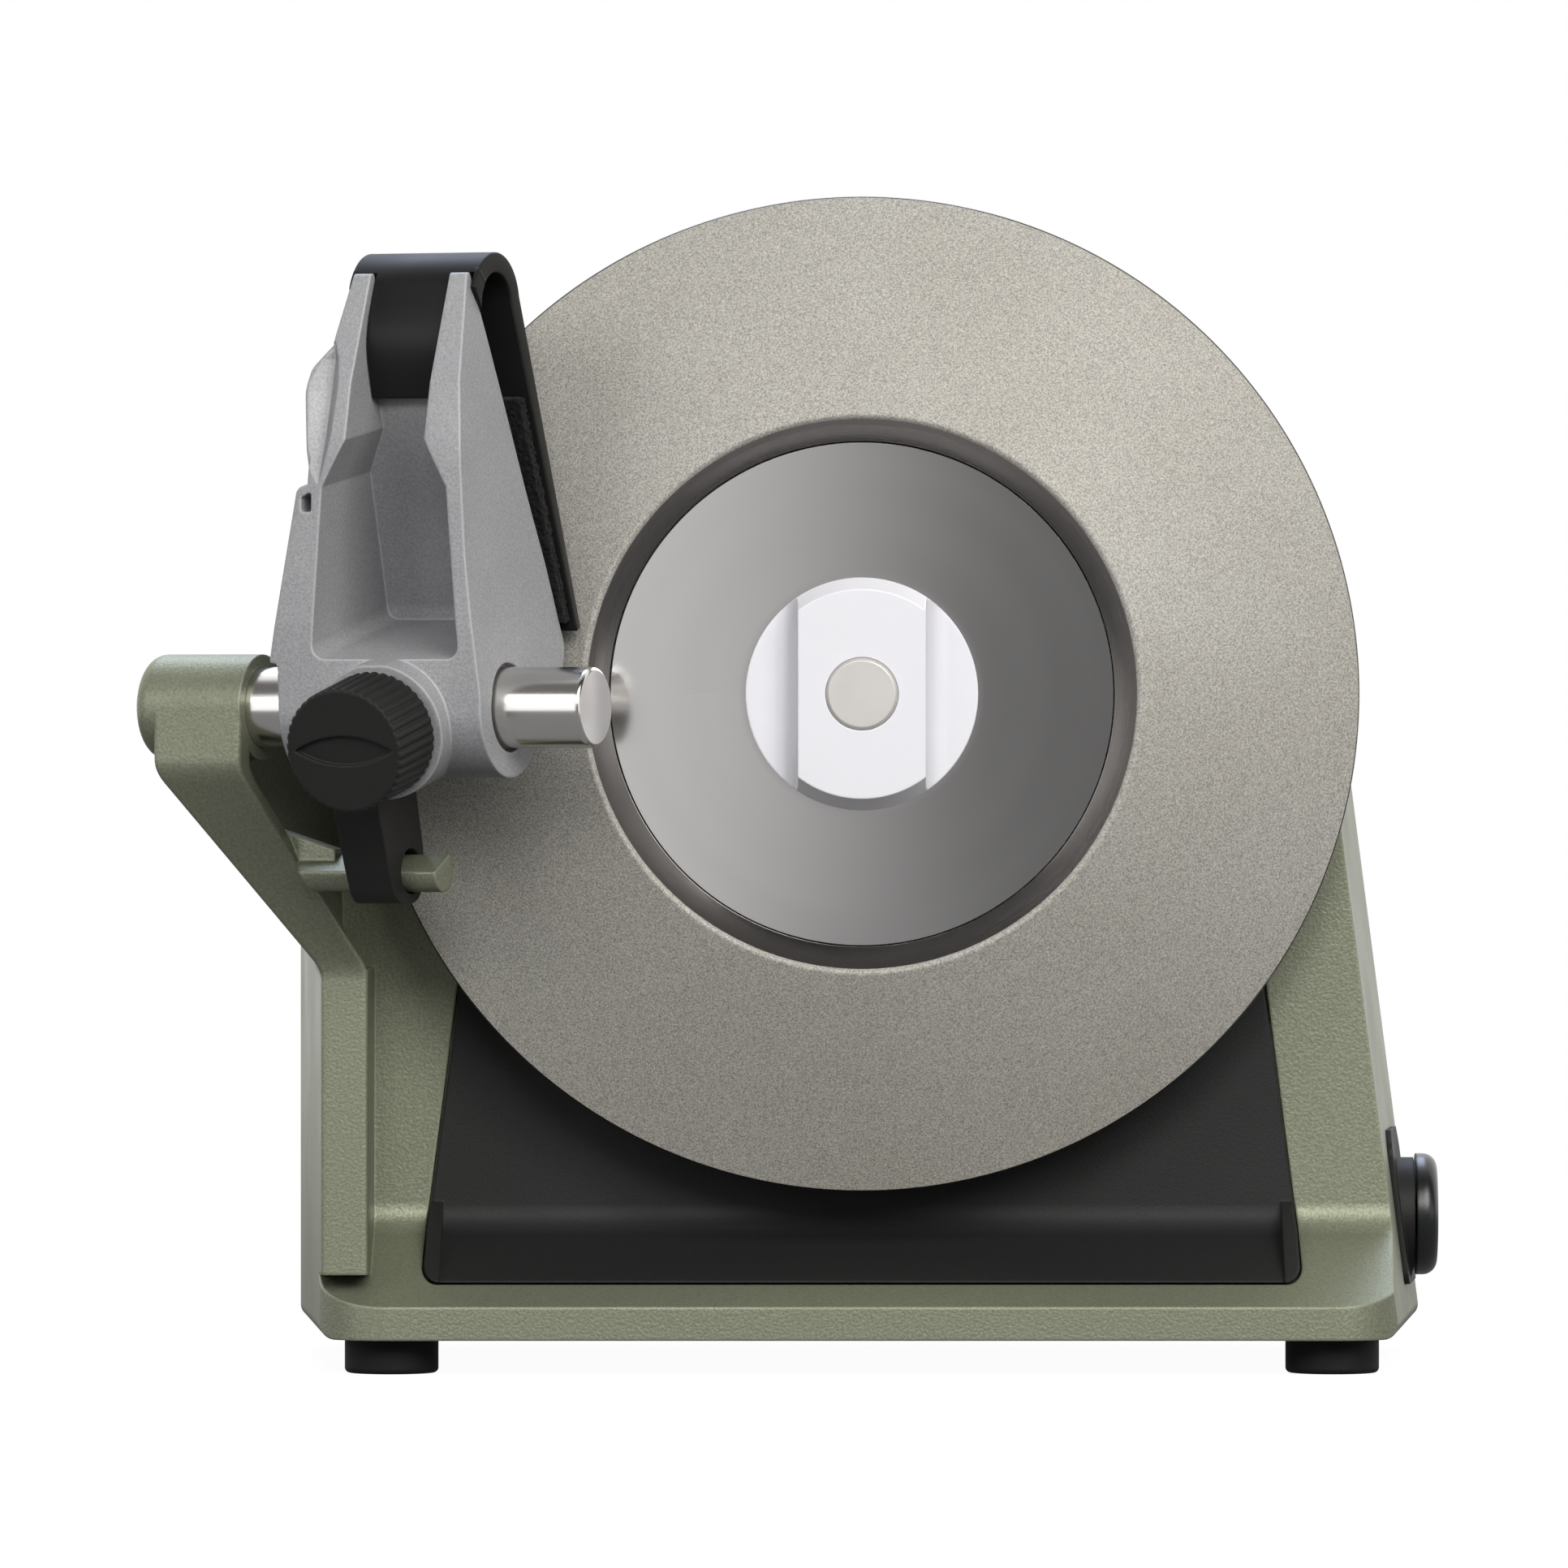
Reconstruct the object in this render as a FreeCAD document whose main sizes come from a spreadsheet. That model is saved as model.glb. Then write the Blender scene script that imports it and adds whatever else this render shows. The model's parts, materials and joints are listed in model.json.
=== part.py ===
import FreeCAD, Part
import math
import os

import Sketcher
from FreeCAD import Placement, Rotation, Vector

# Two-wheel bench knife sharpener. A conical abrasive wheel runs in front of a die-cast housing and a
# honing wheel runs behind it, on one slow shaft. A knife guide slides and tilts on a round bar that
# stands parallel to the cone's left side.
#
# Working frame: the shaft axis is the line X = 0, Z = 0, and the wheel's front rim lies in the plane
# Y = 0, with +Y pointing back into the housing. The last step puts this frame where the sharpener's
# feet stand on Z = 0, centred left to right and front to back.

SIZES = {
    # Place of the working frame above the table and inside the overall length and depth.
    "axis_height": 102.0,
    "axis_offset": 10.2,
    "rim_depth": -33.9,
    # Conical wheel, a coated steel ring round a polished hub disc.
    "wheel_radius": 75.0,
    "cone_angle": 24.0,
    "coat_inner_radius": 41.5,
    "ring_wall": 5.0,
    "rim_land": 0.6,
    "recess_depth": 6.0,
    "hub_radius": 37.7,
    "hub_thickness": 4.0,
    "hub_seat_radius": 33.5,
    "hub_seat_thickness": 3.0,
    "disc_gap": 0.2,
    # Shaft, bearings and the quick lock nuts.
    "shaft_radius": 6.0,
    "thread_radius": 5.4,
    "spigot_radius": 7.0,
    "flange_radius": 14.0,
    "flange_thickness": 5.0,
    "running_gap": 0.05,
    "bearing_radius": 14.0,
    "bearing_width": 8.0,
    "bearing_wall": 3.0,
    "nut_radius": 17.4,
    "nut_rim": 2.6,
    "nut_height": 8.2,
    "nut_grip_width": 19.1,
    "nut_bevel": 1.75,
    "nut_bevel_depth": 3.4,
    "nut_scoop_radius": 3.6,
    "thread_stub": 0.5,
    # Honing wheel behind the housing.
    "honing_radius": 52.5,
    "honing_width": 20.0,
    "honing_gap": 6.0,
    "honing_hub_radius": 24.0,
    # Housing casting.
    "panel_depth": 14.0,
    "lip_depth": -14.0,
    "housing_back": 64.0,
    "left_half_width": 83.0,
    "right_half_width": 80.4,
    "side_flare": 4.75,
    "right_slope": 7.35,
    "housing_top": 28.0,
    "base_bottom": -96.7,
    "ledge_rise": 16.1,
    "ledge_bend": "=base_bottom + ledge_rise",
    "lip_height": 5.0,
    "foot_hole_depth": 7.3,
    "top_corner": 14.0,
    "lip_corner": 10.0,
    "bend_radius": 5.0,
    "front_wall": 4.5,
    "side_wall": 3.5,
    "post_radius": 4.5,
    "post_left": -26.0,
    "post_right": 46.0,
    "post_top": -46.0,
    "post_inset": 6.0,
    "post_rise": 14.7,
    "corner_left": -74.0,
    "corner_right": 58.0,
    "corner_top": 16.0,
    "corner_rise": 10.7,
    # Rear cover.
    "cover_depth": 26.0,
    "cover_inset": 5.0,
    "cover_wall": 3.0,
    "gland_x": -52.0,
    "gland_rise": 24.7,
    "gland_radius": 6.5,
    "gland_neck": 4.5,
    "gland_bore": 3.2,
    "gland_lip": 2.2,
    "vent_count": 6,
    "vent_width": 3.0,
    "vent_height": 26.0,
    "vent_pitch": 6.5,
    "vent_rise": 12.7,
    "vent_shift": -4.0,
    # Black insert under the wheel.
    "insert_top": -24.0,
    "insert_half_width": 65.7,
    "insert_slope": 7.5,
    "insert_front": -5.6,
    "insert_thickness": 2.4,
    "insert_gap": 0.35,
    "insert_drop": 1.2,
    "magnet_radius": 5.0,
    "magnet_x": 58.0,
    "magnet_rise": 12.6,
    "cheek_width": 1.6,
    "cheek_rise": 2.6,
    # Guide bar and the frame of the knife guide.
    "bar_radius": 6.0,
    "bar_standoff": 24.6,
    "bar_drop": 2.0,
    "guide_station": 20.9,
    "bar_reach": 29.3,
    "bar_chamfer": 0.8,
    "boss_radius": 7.9,
    "boss_round": 2.4,
    "boss_outer": 43.5,
    "band_start": 39.9,
    "boss_inner": 25.5,
    "boss_floor": 3.0,
    # Arm and anti-turn rail of the casting.
    "column_front": -11.0,
    "column_width": 7.0,
    "column_top": -41.3,
    "column_rise": 9.7,
    "column_bottom": "=base_bottom + column_rise",
    "arm_top": -11.5,
    "arm_band": 3.4,
    "arm_edge_round": 0.8,
    "upper_bend": 1.8,
    "lower_bend": 1.4,
    "arm_web": 4.5,
    "gusset_reach": 15.1,
    "gusset_rise": 6.3,
    "gusset_thickness": 3.0,
    "rail_drop": 24.3,
    "rail_back": 3.15,
    "rail_radius": 3.1,
    "rail_flat": 1.3,
    "rail_end": 2.9,
    "rail_root": 3.0,
    # Knife guide casting.
    "guide_tilt": 21.0,
    "guide_foot_radius": 10.4,
    "guide_half_width": 15.4,
    "guide_left_width": 17.7,
    "guide_peak": 64.3,
    "guide_heel_height": 9.0,
    "guide_heel_back": 20.0,
    "guide_plate": 3.3,
    "guide_peak_width": 9.4,
    "cavity_floor": 7.2,
    "floor_rise": 13.2,
    "floor_back": 14.6,
    "cavity_half_width": 12.1,
    "cavity_waist": 6.5,
    "waist_height": 39.6,
    "shoulder_drop": 7.0,
    "crease_rise": 9.0,
    "counterbore_radius": 6.65,
    "counterbore_depth": 2.0,
    # Leaf and felt that press the blade on the guide face.
    "leaf_tilt": 12.0,
    "leaf_thickness": 3.0,
    "leaf_loop_radius": 8.0,
    "leaf_leg_width": 6.2,
    "leaf_loop_width": 10.4,
    "leaf_foot_width": 16.3,
    "leaf_foot_height": 10.9,
    "leaf_leg_foot": 45.7,
    "leaf_loop_height": 59.5,
    "leaf_loop_back": 5.7,
    "leaf_bevel": 0.8,
    "leaf_bow": 2.6,
    "felt_thickness": 1.9,
    "felt_inset": 1.0,
    "felt_height": 34.0,
    # Anti-turn lever.
    "lever_width": 7.3,
    "lever_left": 9.8,
    "lever_hub_radius": 7.0,
    "lever_gap": 0.3,
    "lever_slot_top": 1.0,
    "lever_foot_radius": 4.6,
    "lever_hole_radius": 3.4,
    # Angle knob.
    "knob_radius": 9.35,
    "knob_length": 12.0,
    "knob_tilt": 13.0,
    "knob_drop": 3.7,
    "knob_seat": 13.0,
    "knob_boss_radius": 10.2,
    "knob_flutes": 40,
    "flute_radius": 0.44,
    "flute_reach": 0.1,
    "knob_rim": 0.45,
    "grip_slot_width": 16.0,
    "grip_slot_height": 4.5,
    "grip_slot_depth": 0.8,
    "spindle_radius": 2.5,
    # Gear train.
    "wheel_module": 1.25,
    "drive_teeth": 36,
    "idler_pinion_teeth": 16,
    "motor_module": 1.0,
    "idler_teeth": 48,
    "motor_teeth": 12,
    "idler_direction": -60.0,
    "motor_direction": 250.0,
    "backlash": 0.16,
    "drive_gear_front": 32.0,
    "drive_gear_width": 10.0,
    "idler_gear_front": 45.0,
    "idler_gear_width": 8.0,
    "axle_radius": 3.0,
    # Motor and its plate.
    "motor_plate_front": 56.0,
    "motor_plate_thickness": 2.5,
    "motor_radius": 20.0,
    "motor_length": 26.0,
    "motor_shaft_radius": 2.0,
    "rotor_radius": 12.5,
    "motor_wall": 2.0,
    "rotor_gap": 3.0,
    "shaft_end_gap": 0.6,
    # Switch on the right wall.
    "switch_depth": 40.0,
    "switch_rise": 16.9,
    "switch_height": "=base_bottom + switch_rise",
    "switch_knob_radius": 9.3,
    "switch_knob_thickness": 3.3,
    "switch_face": 84.6,
    "switch_plate": 0.8,
    "switch_plate_half": 12.0,
    "switch_plate_low": -10.5,
    "switch_plate_shoulder": 10.5,
    "switch_plate_top": 13.2,
    "switch_plate_corner": 2.0,
    "switch_collar_step": 0.6,
    "switch_collar_length": 8.0,
    "switch_collar_bore": 5.3,
    "switch_neck": 5.0,
    "switch_stem": 3.0,
    "switch_knob_round": 2.2,
    "switch_knob_gap": 0.3,
    "switch_depth_inside": 13.0,
    "switch_body_half": 8.5,
    # Board and capacitor beside the motor.
    "board_x": -64.0,
    "board_front": 24.0,
    "board_depth": 36.0,
    "board_height": 44.0,
    "board_thickness": 1.6,
    "capacitor_radius": 7.0,
    "capacitor_z": -70.0,
    "capacitor_front": 30.0,
    "capacitor_back": 52.0,
    # Feet and small parts.
    "foot_radius": 7.05,
    "foot_height": 5.3,
    "foot_x": 70.7,
    "foot_y": -2.0,
    "rear_foot_x": 72.75,
    "rear_foot_y": 54.0,
    "foot_edge": 0.8,
    "foot_pocket": 3.2,
    "foot_head": 2.0,
    "foot_shank": 9.0,
    "screw_radius": 2.0,
    "screw_head_radius": 3.6,
    "screw_head_height": 2.4,
    "seat_gap": 0.05,
}

doc = FreeCAD.newDocument("knife_sharpener")
sheet = doc.addObject("Spreadsheet::Sheet", "Sizes")
for row, (alias, value) in enumerate(SIZES.items(), start=1):
    sheet.set("A%d" % row, alias)
    sheet.set("B%d" % row, str(value))
    sheet.setAlias("B%d" % row, alias)
doc.recompute()


def size(alias):
    """Value of one cell of the sheet, in millimetres or degrees."""
    return float(sheet.get(alias))


def value_of(expression):
    """Number that an expression of the sheet gives now."""
    result = sheet.evalExpression(expression)
    return float(getattr(result, "Value", result))


def tan_deg(angle):
    return math.tan(math.radians(angle))


def sin_deg(angle):
    return math.sin(math.radians(angle))


def cos_deg(angle):
    return math.cos(math.radians(angle))


# Frames of the sub-assemblies.

MACHINE = Placement(Vector(size("axis_offset"), size("rim_depth"), size("axis_height")), Rotation())

cone = size("cone_angle")
ALONG_BAR = Vector(cos_deg(cone), -sin_deg(cone), 0)
BEHIND_BAR = Vector(sin_deg(cone), cos_deg(cone), 0)
guide_centre = (
    Vector(-size("wheel_radius"), 0, -size("bar_drop"))
    + ALONG_BAR * size("guide_station")
    - BEHIND_BAR * size("bar_standoff")
)
GUIDE_IN_MACHINE = Placement(guide_centre, Rotation(Vector(0, 0, 1), -cone))
GUIDE = MACHINE * GUIDE_IN_MACHINE
KNOB_IN_GUIDE = Placement(
    Vector(0, -size("knob_seat"), -size("knob_drop")), Rotation(Vector(1, 0, 0), size("knob_tilt"))
)
KNOB = GUIDE * KNOB_IN_GUIDE

NODES = []


def finish(feature, label, place=MACHINE):
    """Name a sub-part, put it in its frame and list it for the export."""
    feature.Label = label
    feature.Placement = place * feature.Placement
    NODES.append(feature)
    return feature


def add_shape(label, shape, place=MACHINE):
    """Sub-part whose form is built with the geometry functions below."""
    feature = doc.addObject("Part::Feature", label)
    feature.Shape = shape
    return finish(feature, label, place)


# Sketch helpers for turned bodies. Every corner of a profile is pinned to the sheet.


def origin_plane(body, role):
    return [item for item in body.Origin.OriginFeatures if item.Role == role][0]


def pinned_profile(body, name, corners, role="XY_Plane"):
    """Closed profile whose corners are pairs of sheet expressions."""
    sketch = body.newObject("Sketcher::SketchObject", name)
    sketch.AttachmentSupport = [(origin_plane(body, role), "")]
    sketch.MapMode = "FlatFace"
    points = [Vector(value_of(across), value_of(along), 0) for across, along in corners]
    count = len(points)
    for index in range(count):
        sketch.addGeometry(Part.LineSegment(points[index], points[(index + 1) % count]), False)
    for index in range(count):
        sketch.addConstraint(Sketcher.Constraint("Coincident", index, 2, (index + 1) % count, 1))
    for index, (across, along) in enumerate(corners):
        pin = sketch.addConstraint(Sketcher.Constraint("DistanceX", -1, 1, index, 1, points[index].x))
        sketch.setExpression("Constraints[%d]" % pin, across)
        pin = sketch.addConstraint(Sketcher.Constraint("DistanceY", -1, 1, index, 1, points[index].y))
        sketch.setExpression("Constraints[%d]" % pin, along)
    return sketch


def turned_body(name, corners, axis="V_Axis"):
    """Body turned about the sketch's own axis: V_Axis for Y, H_Axis for X."""
    body = doc.addObject("PartDesign::Body", name)
    sketch = pinned_profile(body, name + "_profile", corners)
    turn = body.newObject("PartDesign::Revolution", name + "_turn")
    turn.Profile = sketch
    turn.ReferenceAxis = (sketch, [axis])
    turn.Angle = 360
    doc.recompute()
    return body


# Outline helpers for the cast and moulded pieces.


def rounded_wire(corners, to_space):
    """Closed wire through (a, b, radius) corners, each radius an arc tangent to its two sides."""
    flat = [Vector(a, b, 0) for a, b, _ in corners]
    count = len(flat)
    ends = []
    for index, (_, _, radius) in enumerate(corners):
        corner = flat[index]
        if radius <= 0:
            ends.append((corner, None, corner))
            continue
        back = (flat[index - 1] - corner).normalize()
        ahead = (flat[(index + 1) % count] - corner).normalize()
        half = back.getAngle(ahead) / 2
        centre = corner + (back + ahead).normalize() * (radius / math.sin(half))
        middle = centre + (corner - centre).normalize() * radius
        run = radius / math.tan(half)
        ends.append((corner + back * run, middle, corner + ahead * run))
    edges = []
    for index, (start, middle, end) in enumerate(ends):
        if middle is not None:
            edges.append(Part.Arc(to_space(start), to_space(middle), to_space(end)).toShape())
        following = ends[(index + 1) % count][0]
        if (following - end).Length > 1e-6:
            edges.append(Part.LineSegment(to_space(end), to_space(following)).toShape())
    return Part.Wire(edges)


def at_depth(y):
    """Front view: a is X and b is Z."""
    return lambda p: Vector(p.x, y, p.y)


def at_side(x):
    """Side view: a is Y and b is Z."""
    return lambda p: Vector(x, p.x, p.y)


def at_height(z):
    """Plan view: a is X and b is Y."""
    return lambda p: Vector(p.x, p.y, z)


def prism(corners, to_space, along):
    return Part.Face(rounded_wire(corners, to_space)).extrude(along)


def loft(first, second):
    return Part.makeLoft([first, second], True, True)


def sharp(points):
    return [(a, b, 0) for a, b in points]


def rod(radius, start, end):
    """Cylinder from one point to another."""
    return Part.makeCylinder(radius, (end - start).Length, start, end - start)


def y_rod(radius, x, z, front, back):
    return rod(radius, Vector(x, front, z), Vector(x, back, z))


def y_tube(outer, inner, x, z, front, back):
    return y_rod(outer, x, z, front, back).cut(y_rod(inner, x, z, front - 1, back + 1))


def fuse(first, *others):
    return first.multiFuse(list(others))


def cut(first, *others):
    for other in others:
        first = first.cut(other)
    return first


FAR = 300.0


# Cone of the wheel and stack of pieces on the shaft, as Y values of the working frame.

CONE = "tan(Sizes.cone_angle)"
COAT_INNER = "(-(Sizes.wheel_radius - Sizes.coat_inner_radius) * %s)" % CONE
HUB_FACE = "(%s + Sizes.recess_depth)" % COAT_INNER
HUB_BACK = "(%s + Sizes.hub_thickness)" % HUB_FACE
SEAT_BACK = "(%s + Sizes.hub_seat_thickness)" % HUB_BACK
FLANGE_BACK = "(%s + Sizes.flange_thickness)" % HUB_BACK
NUT_FRONT = "(%s - Sizes.nut_height)" % HUB_FACE
SHAFT_FRONT = "(%s - Sizes.thread_stub)" % NUT_FRONT
FRONT_BEARING = "(Sizes.panel_depth + Sizes.front_wall)"
COVER_BACK = "(Sizes.housing_back + Sizes.cover_depth)"
REAR_BEARING = "(%s - Sizes.bearing_wall - Sizes.bearing_width)" % COVER_BACK
HONING_FRONT = "(%s + Sizes.honing_gap)" % COVER_BACK
HONING_BACK = "(%s + Sizes.honing_width)" % HONING_FRONT
REAR_NUT_BACK = "(%s + Sizes.nut_height)" % HONING_BACK
SHAFT_BACK = "(%s + Sizes.thread_stub)" % REAR_NUT_BACK
PLATE_BACK = "(Sizes.motor_plate_front + Sizes.motor_plate_thickness)"
CAN_BACK = "(%s + Sizes.motor_length)" % PLATE_BACK


def build_spindle():
    """Coated ring, hub disc, shaft and honing wheel, which all turn together."""
    ring_floor = "Sizes.hub_radius + Sizes.disc_gap"
    ring = turned_body("diamond_wheel", [
        ("Sizes.wheel_radius", "Sizes.rim_land"),
        ("Sizes.wheel_radius - Sizes.rim_land", "-Sizes.rim_land * %s" % CONE),
        ("Sizes.coat_inner_radius + Sizes.rim_land", COAT_INNER + " + Sizes.rim_land * %s" % CONE),
        ("Sizes.coat_inner_radius", COAT_INNER + " + Sizes.rim_land"),
        (ring_floor, HUB_FACE),
        (ring_floor, HUB_BACK),
        ("Sizes.hub_seat_radius", HUB_BACK),
        ("Sizes.hub_seat_radius", SEAT_BACK),
        ("Sizes.hub_radius + Sizes.ring_wall", SEAT_BACK),
        ("Sizes.wheel_radius - Sizes.ring_wall / 2", "Sizes.ring_wall"),
        ("Sizes.wheel_radius", "Sizes.ring_wall"),
    ])
    finish(ring, "diamond_wheel")

    hub = turned_body("hub_disc", [
        ("Sizes.spigot_radius + Sizes.seat_gap", HUB_FACE),
        ("Sizes.hub_radius", HUB_FACE),
        ("Sizes.hub_radius", HUB_BACK),
        ("Sizes.spigot_radius + Sizes.seat_gap", HUB_BACK),
    ])
    finish(hub, "hub_disc")

    shaft = turned_body("main_shaft", [
        ("0", SHAFT_FRONT),
        ("Sizes.thread_radius - Sizes.seat_gap * 8", SHAFT_FRONT),
        ("Sizes.thread_radius", SHAFT_FRONT + " + Sizes.seat_gap * 8"),
        ("Sizes.thread_radius", HUB_FACE),
        ("Sizes.spigot_radius", HUB_FACE),
        ("Sizes.spigot_radius", HUB_BACK),
        ("Sizes.flange_radius", HUB_BACK),
        ("Sizes.flange_radius", FLANGE_BACK),
        ("Sizes.shaft_radius", FLANGE_BACK),
        ("Sizes.shaft_radius", HONING_BACK),
        ("Sizes.thread_radius", HONING_BACK),
        ("Sizes.thread_radius", SHAFT_BACK + " - Sizes.seat_gap * 8"),
        ("Sizes.thread_radius - Sizes.seat_gap * 8", SHAFT_BACK),
        ("0", SHAFT_BACK),
    ])
    finish(shaft, "main_shaft")

    honing = turned_body("honing_wheel", [
        ("Sizes.honing_hub_radius", HONING_FRONT),
        ("Sizes.honing_radius - 1", HONING_FRONT),
        ("Sizes.honing_radius", HONING_FRONT + " + 1"),
        ("Sizes.honing_radius", HONING_BACK + " - 1"),
        ("Sizes.honing_radius - 1", HONING_BACK),
        ("Sizes.honing_hub_radius", HONING_BACK),
    ])
    finish(honing, "honing_wheel")

    honing_hub = turned_body("honing_hub", [
        ("Sizes.shaft_radius + Sizes.seat_gap", HONING_FRONT),
        ("Sizes.honing_hub_radius - Sizes.seat_gap", HONING_FRONT),
        ("Sizes.honing_hub_radius - Sizes.seat_gap", HONING_BACK),
        ("Sizes.shaft_radius + Sizes.seat_gap", HONING_BACK),
    ])
    finish(honing_hub, "honing_hub")


def bearing(label, front):
    """Deep groove ball bearing drawn as its closed outer form."""
    body = turned_body(label, [
        ("Sizes.shaft_radius + Sizes.seat_gap", front),
        ("Sizes.bearing_radius - Sizes.seat_gap", front),
        ("Sizes.bearing_radius - Sizes.seat_gap", front + " + Sizes.bearing_width"),
        ("Sizes.shaft_radius + Sizes.seat_gap", front + " + Sizes.bearing_width"),
    ])
    finish(body, label)


def lock_nut(label, seat, outward):
    """Quick nut: a round plate, hollowed on both sides of a grip bar that is bevelled at its ends."""
    radius = size("nut_radius")
    height = size("nut_height")
    half_grip = size("nut_grip_width") / 2
    rim = size("nut_rim")
    bevel_depth = size("nut_bevel_depth")
    bevel_start = height - bevel_depth
    core = fuse(y_rod(radius, 0, 0, 0, bevel_start),
                Part.makeCone(radius, radius - size("nut_bevel"), bevel_depth, Vector(0, bevel_start, 0),
                              Vector(0, 1, 0)))
    for side in (-1, 1):
        hollow = [(side * half_grip, rim, size("nut_scoop_radius")), (side * FAR, rim, 0),
                  (side * FAR, FAR, 0), (side * half_grip, FAR, 0)]
        core = core.cut(prism(hollow, at_height(-FAR / 2), Vector(0, 0, FAR)))
    core = cut(core, y_rod(size("thread_radius") + size("running_gap"), 0, 0, -1, height + 1))
    if outward < 0:
        core.rotate(Vector(0, 0, 0), Vector(0, 0, 1), 180)
    core.translate(Vector(0, value_of(seat), 0))
    add_shape(label, core)


# Gear train.


def involute_gear(teeth, module, tooth_angle, front, width, bore):
    """Spur gear about the Y axis with one tooth centred on tooth_angle, measured from X towards Z."""
    pressure = math.radians(20)
    pitch = module * teeth / 2
    base = pitch * math.cos(pressure)
    root = pitch - 1.2 * module
    tip = pitch + 0.9 * module
    half_at_pitch = math.pi / (2 * teeth) - size("backlash") / (2 * pitch)

    def half_angle(radius):
        slant = math.acos(min(1.0, base / radius))
        return half_at_pitch + (math.tan(pressure) - pressure) - (math.tan(slant) - slant)

    foot = max(base, root)
    flank = [(root, half_angle(foot)), (foot, half_angle(foot)), (pitch, half_angle(pitch)),
             (tip, half_angle(tip))]
    if foot - root < 0.05 * module:
        flank.pop(1)
    corners = []
    for tooth in range(teeth):
        middle = math.radians(tooth_angle) + 2 * math.pi * tooth / teeth
        for radius, half in flank:
            corners.append((radius * math.cos(middle - half), radius * math.sin(middle - half)))
        for radius, half in reversed(flank):
            corners.append((radius * math.cos(middle + half), radius * math.sin(middle + half)))
    blank = prism(sharp(corners), at_depth(front), Vector(0, width, 0))
    return cut(blank, y_rod(bore, 0, 0, front - 1, front + width + 1))


wheel_distance = size("wheel_module") * (size("drive_teeth") + size("idler_pinion_teeth")) / 2
motor_distance = size("motor_module") * (size("idler_teeth") + size("motor_teeth")) / 2
IDLER = (
    wheel_distance * cos_deg(size("idler_direction")),
    wheel_distance * sin_deg(size("idler_direction")),
)
MOTOR = (
    IDLER[0] + motor_distance * cos_deg(size("motor_direction")),
    IDLER[1] + motor_distance * sin_deg(size("motor_direction")),
)


def build_gears():
    """Two-stage spur reduction from the motor pinion to the gear on the main shaft."""
    front = size("drive_gear_front")
    width = size("drive_gear_width")
    drive_teeth = int(size("drive_teeth"))
    small_teeth = int(size("idler_pinion_teeth"))
    big_teeth = int(size("idler_teeth"))
    motor_teeth = int(size("motor_teeth"))
    drive = involute_gear(drive_teeth, size("wheel_module"), size("idler_direction"),
                          front, width, size("shaft_radius") + size("seat_gap"))
    add_shape("drive_gear", drive)

    x, z = IDLER
    bore = size("axle_radius") + size("running_gap")
    space_to_wheel = size("idler_direction") + 180 + 180 / small_teeth
    small = involute_gear(small_teeth, size("wheel_module"), space_to_wheel, front - 1, width + 2, bore)
    large = involute_gear(big_teeth, size("motor_module"), size("motor_direction"),
                          size("idler_gear_front"), size("idler_gear_width"), bore)
    hub_front = size("panel_depth") + size("front_wall") + size("bearing_width") + 3.8
    sleeve = y_tube(size("axle_radius") + 2.2, bore, 0, 0, hub_front, size("motor_plate_front") - 0.3)
    idler = fuse(small, large, sleeve)
    idler.translate(Vector(x, 0, z))
    add_shape("idler_gear", idler)
    axle = turned_body("idler_axle", [
        ("0", FRONT_BEARING), ("Sizes.axle_radius", FRONT_BEARING), ("Sizes.axle_radius", PLATE_BACK),
        ("0", PLATE_BACK),
    ])
    finish(axle, "idler_axle", MACHINE * Placement(Vector(x, 0, z), Rotation()))

    x, z = MOTOR
    space_to_idler = size("motor_direction") + 180 + 180 / motor_teeth
    pinion = involute_gear(motor_teeth, size("motor_module"), space_to_idler,
                           size("idler_gear_front") - 1, size("idler_gear_width") + 2,
                           size("motor_shaft_radius") + size("seat_gap"))
    pinion.translate(Vector(x, 0, z))
    add_shape("motor_pinion", pinion)


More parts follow.
